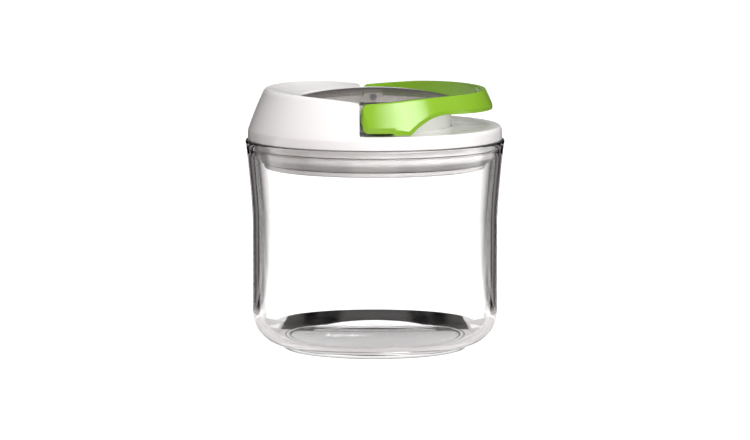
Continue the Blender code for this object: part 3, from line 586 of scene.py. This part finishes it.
bpy.ops.object.select_all(action="DESELECT")
bpy.context.view_layer.objects.active = cover_shell
cover_shell.select_set(True)
bpy.ops.object.mode_set(mode="EDIT")
bpy.ops.mesh.select_all(action="SELECT")
bpy.ops.mesh.remove_doubles(threshold=COARSE_WELD)
bpy.ops.mesh.select_all(action="DESELECT")
form = bmesh.from_edit_mesh(cover_shell.data)
for edge in form.edges:
    ends = [vertex.co for vertex in edge.verts]
    on_shelf = all(abs(point.z - SHELF_Z) < COARSE_WELD and point.x > SEAM_X + SEAM_FILLET
                   for point in ends)
    at_rim = all(math.hypot(point.x, point.y) > CONE_TOP_RADIUS for point in ends)
    if on_shelf and at_rim:
        edge.select_set(True)
bmesh.update_edit_mesh(cover_shell.data)
bpy.ops.mesh.bevel(offset=SHELF_EDGE, segments=SHELF_EDGE_STEPS, affect="EDGES", clamp_overlap=False)
bpy.ops.object.mode_set(mode="OBJECT")
eased(cover_shell, COVER_EDGE, COVER_SHARP)

white_plastic, tree, shader = new_material("white_plastic")
shader.inputs["IOR"].default_value = PLASTIC_IOR
shader.inputs["Coat Weight"].default_value = WHITE_COAT[0]
shader.inputs["Coat Roughness"].default_value = WHITE_COAT[1]
worn(tree, shader, WHITE_TONES, WHITE_CLOUD, WHITE_HANDLING, WHITE_ROUGHNESS)
bumped(tree, object_noise(tree, *WHITE_WAVE), *MOULD_RELIEF)
dressed(cover_shell, white_plastic, "lid", "white_plastic", "lid_cover")


# Hub
# The white cup that slides in the lid's bore. Two bosses on its wall carry the lever's
# hinge pins, its floor is screwed to the pressure plate, and its top edge is stepped
# for the window cap.
HUB_RADIUS = 0.0352
HUB_WALL = 0.0028
HUB_FLOOR_Z = 0.098
HUB_FLOOR_TOP_Z = 0.100
HUB_TOP_Z = 0.112
SPIGOT_TOP_Z = 0.1132
SPIGOT_RADIUS = 0.0334
HINGE_X = -0.0008
HINGE_Z = 0.1131
HINGE_BOSS_HALF = 0.0042
HINGE_BOSS_DEPTH = 0.0082
HINGE_BOSS_TOP_Z = 0.1151
PIN_HOLE_RADIUS = 0.0013
LEVEL = 0.999


def cross_rod(name, radius, y_low, y_high):
    """A round bar along the lever's hinge line."""
    bpy.ops.object.select_all(action="DESELECT")
    bpy.ops.mesh.primitive_cylinder_add(vertices=ROD_SIDES, radius=radius, depth=y_high - y_low,
                                        location=(HINGE_X, (y_low + y_high) / 2, HINGE_Z),
                                        rotation=(math.pi / 2, 0, 0))
    bpy.context.object.name = name
    return bpy.context.object


hub_inner = HUB_RADIUS - HUB_WALL
hub_profile = [(0, HUB_FLOOR_TOP_Z), (hub_inner, HUB_FLOOR_TOP_Z), (hub_inner, SPIGOT_TOP_Z),
               (SPIGOT_RADIUS, SPIGOT_TOP_Z), (SPIGOT_RADIUS, HUB_TOP_Z), (HUB_RADIUS, HUB_TOP_Z),
               (HUB_RADIUS, HUB_FLOOR_Z), (0, HUB_FLOOR_Z)]
hub_cup = turned("hub_cup", hub_profile)
for degrees in PLATE_SCREW_ANGLES:
    place = at_angle(PLATE_SCREW_PITCH, degrees)
    hole = rod("hole", SCREW_HOLE_RADIUS, HUB_FLOOR_Z - OVERRUN, HUB_FLOOR_TOP_Z + OVERRUN, place)
    combined(hub_cup, hole, "DIFFERENCE")
eased(hub_cup, FINE_EDGE)
hub_middle = (HUB_FLOOR_Z + HUB_FLOOR_TOP_Z) / 2
boss_limit = [(0, HIGH_Z), (HUB_RADIUS - GAP, HIGH_Z), (HUB_RADIUS - GAP, LID_BOTTOM_Z),
              (0, LID_BOTTOM_Z)]
for side in (-1, 1):
    near, far = sorted((side * (HUB_RADIUS - HINGE_BOSS_DEPTH), side * FAR))
    boss = block("hinge_boss", (HINGE_X - HINGE_BOSS_HALF, near, hub_middle),
                 (HINGE_X + HINGE_BOSS_HALF, far, HINGE_BOSS_TOP_Z))
    combined(boss, turned("boss_limit", boss_limit), "INTERSECT")
    eased(boss, FINE_EDGE)
    combined(hub_cup, boss, "UNION")
combined(hub_cup, cross_rod("pin_bore", PIN_HOLE_RADIUS, -FAR, FAR), "DIFFERENCE")
smooth(hub_cup, EDGE_SHARP)
for face in hub_cup.data.polygons:
    if face.normal.z > LEVEL:
        face.use_smooth = False
evened(hub_cup)
dressed(hub_cup, white_plastic, "plunger", "white_plastic", "hub")


# Lever handle
# A green half ring moulded with two cams on its inner ends. It continues the half cone's
# side, its lower edge is turned in as a smooth border, and a curved cut leaves room for a
# finger. Pins at the cams hinge it on the hub.
HANDLE_WALL = 0.0026
HANDLE_END_X = -0.0056
HANDLE_TIP_TOP_Z = 0.1203
HANDLE_DIP = 0.0026
HANDLE_DIP_RUN = 0.050
HANDLE_BOTTOM_Z = 0.1049
FOOT_PAD_Z = 0.1040
FOOT_PAD_START = 0.0084
FOOT_PAD_END = 0.0166
CUT_RUN = 0.0164
CUT_RISE = 0.0083
TIP_DROP = 0.0014
TOP_CORNER = 0.0025
BOTTOM_CORNER = 0.0026
BORDER = 0.0025
TOP_SHARE = 0.2
CUT_SHARE = 0.75
STRIP_RADIUS = 0.055
STRIP_STEP = 1.25
STRIP_CUTS = 78
TOP_EDGE_STEPS = 56
DRAWN_DEEPER = 2.5
HANDLE_EDGE = 0.0003
HANDLE_SHARP = 35
BORDER_STEPS = 6
BORDER_PROFILE = 0.28
BORDER_RISE = (1.6, 0.3)
PAD_BORDER_X = 0.0110
PAD_BORDER_RUN = 0.004
CAM_REACH = 0.0094
CAM_PER_RADIAN = 0.0024
CAM_BACK_ANGLE = 37.15
CAM_FLAT = 0.009
CAM_INSET = 0.0012
CAM_INNER_Y = 0.0366
CAM_FOOT_RADIUS = 0.050
PIN_HOLE_END_Y = 0.0473
GREEN_TONES = ((0.215, 0.415, 0.024), (0.245, 0.455, 0.034))
GREEN_DEPTH = (0.001, 0.002, 0.0004)
GREEN_SHARE = 0.08
GREEN_CLOUD = (18, 2)
GREEN_HANDLING = (180, 5)
GREEN_ROUGHNESS = (0.12, 0.2)
GREEN_WAVE = (70, 1)


def handle_top(x):
    """Height of the lever's top edge, which rises from the hinge to the tip."""
    share = max(0.0, 1 - (x - HANDLE_END_X) / HANDLE_DIP_RUN)
    return HANDLE_TIP_TOP_Z - HANDLE_DIP * share ** 2


def on_strip(x, z):
    """How far along the flat strip a place on the lever's side lies."""
    return STRIP_RADIUS * math.acos(min(1.0, x / cone_radius(z)))


side_outline = [(FAR, HANDLE_TIP_TOP_Z)]
for i in range(1, TOP_EDGE_STEPS):
    x = CONE_TOP_RADIUS * math.cos(math.radians(STRIP_STEP * i))
    side_outline.append((x, handle_top(x)))
end_top = handle_top(HANDLE_END_X)
side_outline += arc((HANDLE_END_X + TOP_CORNER, end_top - TOP_CORNER), TOP_CORNER, 90, 180, 8)
end_low, end_high = HANDLE_BOTTOM_Z + BOTTOM_CORNER, end_top - TOP_CORNER
side_outline += [(HANDLE_END_X, z) for z in between(end_high, end_low, 8)[1:-1]]
side_outline += arc((HANDLE_END_X + BOTTOM_CORNER, end_low), BOTTOM_CORNER, 180, 270, 10)
side_outline += [(x / 1000, HANDLE_BOTTOM_Z) for x in range(0, 8)]
side_outline += [(FOOT_PAD_START, HANDLE_BOTTOM_Z),
                 (FOOT_PAD_START + HANDLE_BOTTOM_Z - FOOT_PAD_Z, FOOT_PAD_Z)]
side_outline += [(x / 1000, FOOT_PAD_Z) for x in range(11, 16)]
for t in between(0, 1, 16):
    side_outline.append((FOOT_PAD_END + CUT_RUN * t, FOOT_PAD_Z + CUT_RISE * t * (2 - t)))
cut_end_x, cut_end_z = side_outline[-1]
tip_reach = cone_radius(cut_end_z)
for turn in between(math.acos(cut_end_x / tip_reach), 0, 32)[1:]:
    x = tip_reach * math.cos(turn)
    side_outline.append((x, cut_end_z - TIP_DROP * (x - cut_end_x) / (FAR - cut_end_x)))
side_outline[-1] = (FAR, side_outline[-1][1])
strip_outline = [(on_strip(x, z), z) for x, z in side_outline]
strip_outline += [(-along, z) for along, z in strip_outline[-2:0:-1]]
swing_lever = slab("swing_lever", strip_outline, 0, HANDLE_WALL * DRAWN_DEEPER)

bpy.ops.object.mode_set(mode="EDIT")
form = bmesh.from_edit_mesh(swing_lever.data)
border_shares = {}
for edge in form.edges:
    ends = [vertex.co for vertex in edge.verts]
    if abs(ends[0].y - ends[1].y) > GAP:
        continue
    middle = (ends[0] + ends[1]) / 2
    x = cone_radius(middle.z) * math.cos(middle.x / STRIP_RADIUS)
    share = TOP_SHARE
    if middle.y < GAP and middle.z < handle_top(x) - GAP:
        fall = (end_high - middle.z) / (end_high - end_low)
        low_share = min(1.0, max(0.0, BORDER_RISE[0] * fall - BORDER_RISE[1]))
        share = TOP_SHARE + (1 - TOP_SHARE) * low_share
        if x > FOOT_PAD_START:
            share = 1 - (1 - CUT_SHARE) * min(1.0, max(0.0, (x - PAD_BORDER_X) / PAD_BORDER_RUN))
    border_shares.setdefault(round(share, 2), []).append(edge.index)
for share, numbers in border_shares.items():
    form = bmesh.from_edit_mesh(swing_lever.data)
    form.edges.ensure_lookup_table()
    bpy.ops.mesh.select_all(action="DESELECT")
    for number in numbers:
        form.edges[number].select_set(True)
    bmesh.update_edit_mesh(swing_lever.data)
    bpy.ops.transform.edge_bevelweight(value=share)
bpy.ops.object.mode_set(mode="OBJECT")
border = swing_lever.modifiers.new("Border", "BEVEL")
border.width = BORDER
border.segments = BORDER_STEPS
border.profile = BORDER_PROFILE
border.limit_method = "WEIGHT"
border.use_clamp_overlap = False
bpy.ops.object.modifier_apply(modifier=border.name)
bpy.ops.object.mode_set(mode="EDIT")
for i in range(-STRIP_CUTS, STRIP_CUTS + 1):
    along = STRIP_RADIUS * math.radians(STRIP_STEP) * i
    bpy.ops.mesh.select_all(action="SELECT")
    bpy.ops.mesh.bisect(plane_co=(along, 0, 0), plane_no=(1, 0, 0))
for level in between(FOOT_PAD_Z, HANDLE_TIP_TOP_Z, 8)[1:-1]:
    bpy.ops.mesh.select_all(action="SELECT")
    bpy.ops.mesh.bisect(plane_co=(0, 0, level), plane_no=(0, 0, 1))
bpy.ops.mesh.select_all(action="SELECT")
bpy.ops.mesh.remove_doubles(threshold=COARSE_WELD)
bpy.ops.object.mode_set(mode="OBJECT")
for vertex in swing_lever.data.vertices:
    along, depth, z = vertex.co
    reach = cone_radius(z) - depth / DRAWN_DEEPER
    vertex.co = (reach * math.cos(along / STRIP_RADIUS), reach * math.sin(along / STRIP_RADIUS), z)
bpy.ops.object.mode_set(mode="EDIT")
bpy.ops.mesh.select_all(action="SELECT")
bpy.ops.mesh.normals_make_consistent(inside=False)
bpy.ops.object.mode_set(mode="OBJECT")

cam_outline = [(HINGE_X + CAM_FLAT, HINGE_Z - CAM_REACH)]
for lifted in between(0, math.pi / 2, 16):
    reach = CAM_REACH - CAM_PER_RADIAN * lifted
    turn = 1.5 * math.pi - lifted
    cam_outline.append((HINGE_X + reach * math.cos(turn) - CAM_PER_RADIAN * math.sin(turn),
                        HINGE_Z + reach * math.sin(turn) + CAM_PER_RADIAN * math.cos(turn)))
cam_side = CAM_REACH - CAM_PER_RADIAN * math.pi / 2
cam_outline += arc((HINGE_X, HINGE_Z), cam_side, 180, 180 - CAM_BACK_ANGLE, 8)
cam_outline += [(HINGE_X + CAM_FLAT, cam_outline[-1][1])]
foot_z = HANDLE_BOTTOM_Z + GAP
limit_profile = [(0, CONE_TOP_Z)] + cone_side(foot_z, CONE_TOP_Z, CAM_INSET)
limit_profile += [(CAM_FOOT_RADIUS, foot_z), (CAM_FOOT_RADIUS, SHELF_Z - OVERRUN),
                  (0, SHELF_Z - OVERRUN)]
for side in (-1, 1):
    near, far = sorted((side * CAM_INNER_Y, side * FAR))
    cam = slab("cam", cam_outline, near, far)
    eased(cam, HANDLE_EDGE)
    combined(cam, turned("cam_limit", limit_profile), "INTERSECT")
    combined(swing_lever, cam, "UNION")
    near, far = sorted((side * (CAM_INNER_Y - OVERRUN), side * PIN_HOLE_END_Y))
    combined(swing_lever, cross_rod("pin_hole", PIN_HOLE_RADIUS, near, far), "DIFFERENCE")
smooth(swing_lever, HANDLE_SHARP)
evened(swing_lever)

green_plastic, tree, shader = new_material("green_plastic")
shader.inputs["IOR"].default_value = PLASTIC_IOR
shader.inputs["Subsurface Weight"].default_value = GREEN_SHARE
shader.inputs["Subsurface Radius"].default_value = GREEN_DEPTH
worn(tree, shader, GREEN_TONES, GREEN_CLOUD, GREEN_HANDLING, GREEN_ROUGHNESS)
bumped(tree, object_noise(tree, *GREEN_WAVE), *MOULD_RELIEF)
dressed(swing_lever, green_plastic, "lever", "green_plastic", "handle")


# Window cap
# A smoked clear cap pressed over the hub's top. Its crown is slightly domed, its edge is
# rounded, and its short skirt is notched where the hinge bosses stand.
CAP_TOP_Z = 0.1169
CAP_CROWN = 0.0036
CAP_THICKNESS = 0.0012
CAP_INNER = 0.0337
CAP_SKIRT_Z = 0.1123
CAP_EDGE = 0.0006
CAP_SHARP = 30
SMOKE_TONES = ((0.56, 0.54, 0.52), (0.60, 0.58, 0.56))
SMOKE_CLEARNESS = 0.96
SMOKE_CLOUD = (20, 2)
SMOKE_WEAR = (120, 4)
SMOKE_ROUGHNESS = (0.0, 0.02)

cap_under = CAP_TOP_Z - CAP_THICKNESS
shoulder = HUB_RADIUS - CAP_EDGE
dome = between(0, 1, 20)
cap_profile = [(shoulder * s, CAP_TOP_Z + CAP_CROWN * (1 - s * s)) for s in dome[:-1]]
cap_profile += arc((shoulder, CAP_TOP_Z - CAP_EDGE), CAP_EDGE, 78, 0, 6)
cap_profile += [(HUB_RADIUS, CAP_SKIRT_Z), (CAP_INNER, CAP_SKIRT_Z)]
cap_profile += [(CAP_INNER * s, cap_under + CAP_CROWN * (1 - s * s)) for s in dome[::-1]]
smoked_window = turned("smoked_window", cap_profile)
notch_half = HINGE_BOSS_HALF + GAP
for side in (-1, 1):
    near, far = sorted((side * (CAP_INNER - OVERRUN), side * FAR))
    notch = block("notch", (HINGE_X - notch_half, near, CAP_SKIRT_Z - OVERRUN),
                  (HINGE_X + notch_half, far, cap_under - GAP))
    combined(smoked_window, notch, "DIFFERENCE")
smooth(smoked_window, CAP_SHARP)

smoked, tree, shader = new_material("smoked_acrylic")
shader.inputs["IOR"].default_value = ACRYLIC_IOR
shader.inputs["Transmission Weight"].default_value = SMOKE_CLEARNESS
worn(tree, shader, SMOKE_TONES, SMOKE_CLOUD, SMOKE_WEAR, SMOKE_ROUGHNESS)
smoked_window.visible_shadow = False
dressed(smoked_window, smoked, "plunger", "smoked_plastic", "window_cap")


# Pins, washers, screws, springs
# Stock steel fasteners and springs and two plastic washers, all hidden inside the lid
# or under the smoked window. They stay the CAD's own meshes and only get a material.
STEEL_TONES = ((0.52, 0.52, 0.53), (0.62, 0.62, 0.63))
STEEL_CLOUD = (300, 3)
STEEL_SCRATCH = (900, 4, (1, 1, 6))
STEEL_ROUGHNESS = (0.22, 0.38)
ACETAL_TONES = ((0.62, 0.62, 0.60), (0.72, 0.72, 0.70))
ACETAL_CLOUD = (400, 3)
ACETAL_ROUGHNESS = (0.35, 0.5)

steel, tree, shader = new_material("plain_steel")
shader.inputs["Metallic"].default_value = 1.0
worn(tree, shader, STEEL_TONES, STEEL_CLOUD, STEEL_SCRATCH, STEEL_ROUGHNESS)
acetal, tree, shader = new_material("washer_plastic")
worn(tree, shader, ACETAL_TONES, ACETAL_CLOUD, ACETAL_CLOUD, ACETAL_ROUGHNESS)
for name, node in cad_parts.items():
    if not node.hide_render:
        node.data.materials.clear()
        node.data.materials.append(acetal if name.startswith("hinge_washer") else steel)


# Floor, lights and camera
# A white studio with six soft boxes. To the camera the floor and the world are plain.
# Light and dark shapes are laid out on both only for the rays that the clear pieces bend
# and the glossy ones mirror.
FLOOR_SIZE = 3.0
FLOOR_DROP = 0.0001
FLOOR_ROUGHNESS = 0.9
FLOOR_TONE = 0.35
FLOOR_GLOW = 0.92
WHITE = (1.0, 1.0, 1.0)
WARM = (1.0, 0.9, 0.88)
WHOLE = (0.0, 1.0)
JAR_HALF = 0.055
PANEL_STRENGTH = 1.25
PANEL_EDGE = (0.115, 0.23)
LINE_TONE = 0.21
LINE_START = (0.45, 0.49)
LINE_END = (0.57, 0.64)
LINE_REST = 0.02
FRONT_SHARE = 0.45
FRONT_EDGE = (-0.05, 0.0)
NEAR_TONE = 0.50
NEAR_EDGE = (0.13, 0.15)
UNDER_TONE = 0.68
UNDER_EDGE = (0.047, 0.050)
FRONT_TONE = 0.65
FRONT_FADE = (-0.045, -0.015)
BACK_HALF = (0.018, 0.022)
END_TONE = 0.85
END_SIDE = (0.0475, 0.0485)
END_EDGE = (0.062, 0.066)
CRESCENT_CENTRE = 0.056
CRESCENT_EDGE = (0.053, 0.055)
CRESCENT_SHOULDER = (0.060, 0.064)
CRESCENT_SIDE = (0.0460, 0.0470)
DISC_CENTRE = 0.020
DISC_NARROWING = 2.2
DISC_EDGE = (0.043, 0.045)
DISC_FRONT = (0.018, 0.024)
LAMP_AIM = (0, 0, 0.1)
HORIZON = (-0.01, 0.05)
HIGH_SHARE = 0.1
WORLD_TONES = (0.01, 0.15)
SHINE = 12.0
SHINE_REST = 0.5
SHINE_LEAST = 0.05
SHINE_RISE = (-0.05, 0.6)
SHINE_FALL = (0.6, 1.6)
SHINE_SIDE = (1.62, 1.7)
SHINE_BOTTOM = (0.36, 0.40)
SHINE_TOP = (0.80, 0.90)
SHINE_FORWARD = (0.05, 0.1)
CAMERA_PLACE = (0.0, -2.44, 0.3446)
CAMERA_AIM = (0.0, 0.0, 0.0591)
CAMERA_LENS = 254.4
SENSOR_WIDTH = 36.0


def reckoned(tree, operation, total, *values):
    """A sum of two or more values: a maximum, a product, a difference and so on."""
    for value in values:
        node = tree.nodes.new("ShaderNodeMath")
        node.operation = operation
        for socket, given in zip(node.inputs, (total, value)):
            if isinstance(given, float):
                socket.default_value = given
            else:
                tree.links.new(given, socket)
        total = node.outputs[0]
    return total


def ringed(tree, square, inside, outside, edge):
    """One number inside a round edge and one outside it, from the square of a distance."""
    return spread(tree, square, inside, outside, (edge[0] ** 2, edge[1] ** 2))


def backdrop(tree, place, half_width):
    """Four white panels round the jar with dark between them, and the place's coordinates."""
    axes = tree.nodes.new("ShaderNodeSeparateXYZ")
    tree.links.new(place, axes.inputs["Vector"])
    across = reckoned(tree, "ABSOLUTE", axes.outputs["X"], 0.0)
    along = reckoned(tree, "ABSOLUTE", axes.outputs["Y"], 0.0)
    ahead = reckoned(tree, "MAXIMUM", across, along)
    aside = reckoned(tree, "MINIMUM", across, along)
    lean = reckoned(tree, "DIVIDE", reckoned(tree, "SUBTRACT", aside, half_width), ahead)
    panel = spread(tree, lean, 1.0, 0.0, PANEL_EDGE)
    line_start = spread(tree, lean, 0.0, LINE_TONE, LINE_START)
    line_end = spread(tree, lean, LINE_TONE, LINE_REST, LINE_END)
    line = reckoned(tree, "MINIMUM", line_start, line_end)
    weaker = spread(tree, axes.outputs["Y"], FRONT_SHARE, 1.0, FRONT_EDGE)
    return reckoned(tree, "MULTIPLY", reckoned(tree, "MAXIMUM", panel, line), weaker), axes.outputs


bpy.ops.object.select_all(action="DESELECT")
bpy.ops.mesh.primitive_plane_add(size=FLOOR_SIZE, location=(0, 0, -FLOOR_DROP))
floor = bpy.context.object
floor.name = "studio_floor"
pale, tree, shader = new_material("pale_floor")
shader.inputs["Roughness"].default_value = FLOOR_ROUGHNESS
shader.inputs["Specular IOR Level"].default_value = 0.0
path = tree.nodes.new("ShaderNodeLightPath").outputs
place = tree.nodes.new("ShaderNodeTexCoord")
panels, axes = backdrop(tree, place.outputs["Object"], JAR_HALF)
across = reckoned(tree, "ABSOLUTE", axes["X"], 0.0)
across_squared = reckoned(tree, "MULTIPLY", axes["X"], axes["X"])
along_squared = reckoned(tree, "MULTIPLY", axes["Y"], axes["Y"])
reach = reckoned(tree, "ADD", across_squared, along_squared)
back_half = spread(tree, axes["Y"], 0.0, 1.0, BACK_HALF)

# The panels lie on the floor well away from the jar, and up to a round edge behind it.
past = reckoned(tree, "SUBTRACT", axes["Y"], CRESCENT_CENTRE)
past = reckoned(tree, "ADD", reckoned(tree, "MULTIPLY", past, past), across_squared)
behind = reckoned(tree, "MULTIPLY", ringed(tree, past, 0.0, 1.0, CRESCENT_EDGE),
                  spread(tree, axes["Y"], 0.0, 1.0, CRESCENT_SHOULDER))
beyond = reckoned(tree, "MAXIMUM", ringed(tree, reach, 0.0, 1.0, NEAR_EDGE), behind)
sheet = reckoned(tree, "MULTIPLY", panels, beyond)

# Nearer by, painted shade makes the floor grey for the bent and mirrored rays, lighter under the jar
# and darker in front of it.
near = reckoned(tree, "MAXIMUM", ringed(tree, reach, NEAR_TONE, 0.0, NEAR_EDGE),
                ringed(tree, reach, UNDER_TONE, 0.0, UNDER_EDGE))
near = reckoned(tree, "MULTIPLY", near, spread(tree, axes["Y"], FRONT_TONE, 1.0, FRONT_FADE))
ends = reckoned(tree, "MULTIPLY", spread(tree, across, 0.0, END_TONE, END_SIDE), back_half,
                ringed(tree, reach, 1.0, 0.0, END_EDGE))
sheet = reckoned(tree, "MAXIMUM", sheet, near, ends)

# A painted shadow of the jar, a dark crescent, lies behind the foot, round a white disc.
painted_shadow = reckoned(tree, "MULTIPLY", spread(tree, across, 1.0, 0.0, CRESCENT_SIDE), back_half,
                    reckoned(tree, "SUBTRACT", 1.0, behind))
sheet = reckoned(tree, "MULTIPLY", sheet, reckoned(tree, "SUBTRACT", 1.0, painted_shadow))
past = reckoned(tree, "SUBTRACT", axes["Y"], DISC_CENTRE)
oval = reckoned(tree, "ADD", reckoned(tree, "MULTIPLY", across_squared, DISC_NARROWING),
                reckoned(tree, "MULTIPLY", past, past))
disc = reckoned(tree, "MULTIPLY", ringed(tree, oval, 1.0, 0.0, DISC_EDGE),
                spread(tree, axes["Y"], 0.0, 1.0, DISC_FRONT))
sheet = reckoned(tree, "MAXIMUM", sheet, disc)

through = reckoned(tree, "MAXIMUM", path["Is Glossy Ray"], path["Is Transmission Ray"])
hidden = reckoned(tree, "MULTIPLY", through, reckoned(tree, "SUBTRACT", 1.0, sheet))
tree.links.new(spread(tree, hidden, FLOOR_TONE, 0.0, WHOLE), shader.inputs["Base Color"])
mirrored = reckoned(tree, "MULTIPLY", sheet, through, PANEL_STRENGTH)
plain = spread(tree, path["Is Camera Ray"], 0.0, FLOOR_GLOW, WHOLE)
tree.links.new(reckoned(tree, "MAXIMUM", plain, mirrored), shader.inputs["Emission Strength"])
glow = reckoned(tree, "MAXIMUM", sheet, path["Is Camera Ray"])
tree.links.new(two_tone(tree, glow, WARM, WHITE), shader.inputs["Emission Color"])
pale.cycles.emission_sampling = "NONE"
floor.data.materials.append(pale)


def soft_box(name, azimuth, elevation, distance, width, height, radiance, colour=WHITE):
    """A lamp that faces the lid, and that clear and glossy pieces don't show."""
    turn, lift = math.radians(azimuth), math.radians(elevation)
    way = Vector((math.sin(turn) * math.cos(lift), -math.cos(turn) * math.cos(lift),
                  math.sin(lift)))
    bpy.ops.object.select_all(action="DESELECT")
    bpy.ops.object.light_add(type="AREA", location=Vector(LAMP_AIM) + way * distance)
    lamp = bpy.context.object
    lamp.name = name
    lamp.rotation_euler = way.to_track_quat("Z", "Y").to_euler()
    lamp.data.shape = "RECTANGLE"
    lamp.data.size = width
    lamp.data.size_y = height
    lamp.data.color = colour
    lamp.data.energy = radiance * math.pi * width * height
    lamp.visible_glossy = False
    lamp.visible_transmission = False


soft_box("key_box", azimuth=32, elevation=33, distance=1.3, width=1.3, height=0.6, radiance=3.4)
soft_box("front_box", azimuth=6, elevation=8, distance=1.5, width=0.9, height=0.5, radiance=7.2,
         colour=(1.0, 0.955, 0.95))
soft_box("left_box", azimuth=-45, elevation=3, distance=1.4, width=0.8, height=0.2, radiance=3.2,
         colour=WARM)
soft_box("top_box", azimuth=0, elevation=80, distance=1.3, width=1.0, height=0.8, radiance=4.0)
soft_box("side_box", azimuth=80, elevation=20, distance=1.4, width=1.0, height=1.0, radiance=1.2)
soft_box("back_box", azimuth=180, elevation=40, distance=1.4, width=1.2, height=0.8, radiance=2.0)

world = bpy.data.worlds.new("studio")
bpy.context.scene.world = world
world.use_nodes = True
world.cycles.sampling_method = "NONE"
tree = world.node_tree
back = tree.nodes["Background"]
path = tree.nodes.new("ShaderNodeLightPath").outputs
place = tree.nodes.new("ShaderNodeTexCoord")
panels, axes = backdrop(tree, place.outputs["Generated"], 0.0)
low_down = spread(tree, axes["Z"], PANEL_STRENGTH, HIGH_SHARE, HORIZON)
panels = reckoned(tree, "MULTIPLY", panels, low_down)

# The lever's shine is a bright patch ahead and to the right that only glossy rays find.
forward = reckoned(tree, "MULTIPLY", axes["Y"], -1.0)
turn = reckoned(tree, "DIVIDE", axes["X"], reckoned(tree, "MAXIMUM", forward, SHINE_LEAST))
shine = reckoned(tree, "MULTIPLY", path["Is Glossy Ray"],
                 spread(tree, turn, 0.0, SHINE, SHINE_RISE),
                 spread(tree, turn, 1.0, SHINE_REST, SHINE_FALL),
                 spread(tree, turn, 1.0, 0.0, SHINE_SIDE),
                 spread(tree, axes["Z"], 0.0, 1.0, SHINE_BOTTOM),
                 spread(tree, axes["Z"], 1.0, 0.0, SHINE_TOP),
                 spread(tree, forward, 0.0, 1.0, SHINE_FORWARD))
undiffused = reckoned(tree, "SUBTRACT", 1.0, path["Is Diffuse Ray"])
panels = reckoned(tree, "MULTIPLY", reckoned(tree, "MAXIMUM", panels, shine), undiffused)
lit = spread(tree, path["Is Diffuse Ray"], *WORLD_TONES, WHOLE)
glow = reckoned(tree, "MAXIMUM", panels, lit, path["Is Camera Ray"])
tree.links.new(glow, back.inputs["Strength"])
tree.links.new(two_tone(tree, glow, WARM, WHITE), back.inputs["Color"])

bpy.ops.object.select_all(action="DESELECT")
bpy.ops.object.camera_add(location=CAMERA_PLACE)
camera = bpy.context.object
camera.name = "front_camera"
view_line = Vector(CAMERA_AIM) - Vector(CAMERA_PLACE)
camera.rotation_euler = view_line.to_track_quat("-Z", "Y").to_euler()
camera.data.lens = CAMERA_LENS
camera.data.sensor_width = SENSOR_WIDTH
bpy.context.scene.camera = camera
bpy.context.scene.view_settings.view_transform = "Standard"
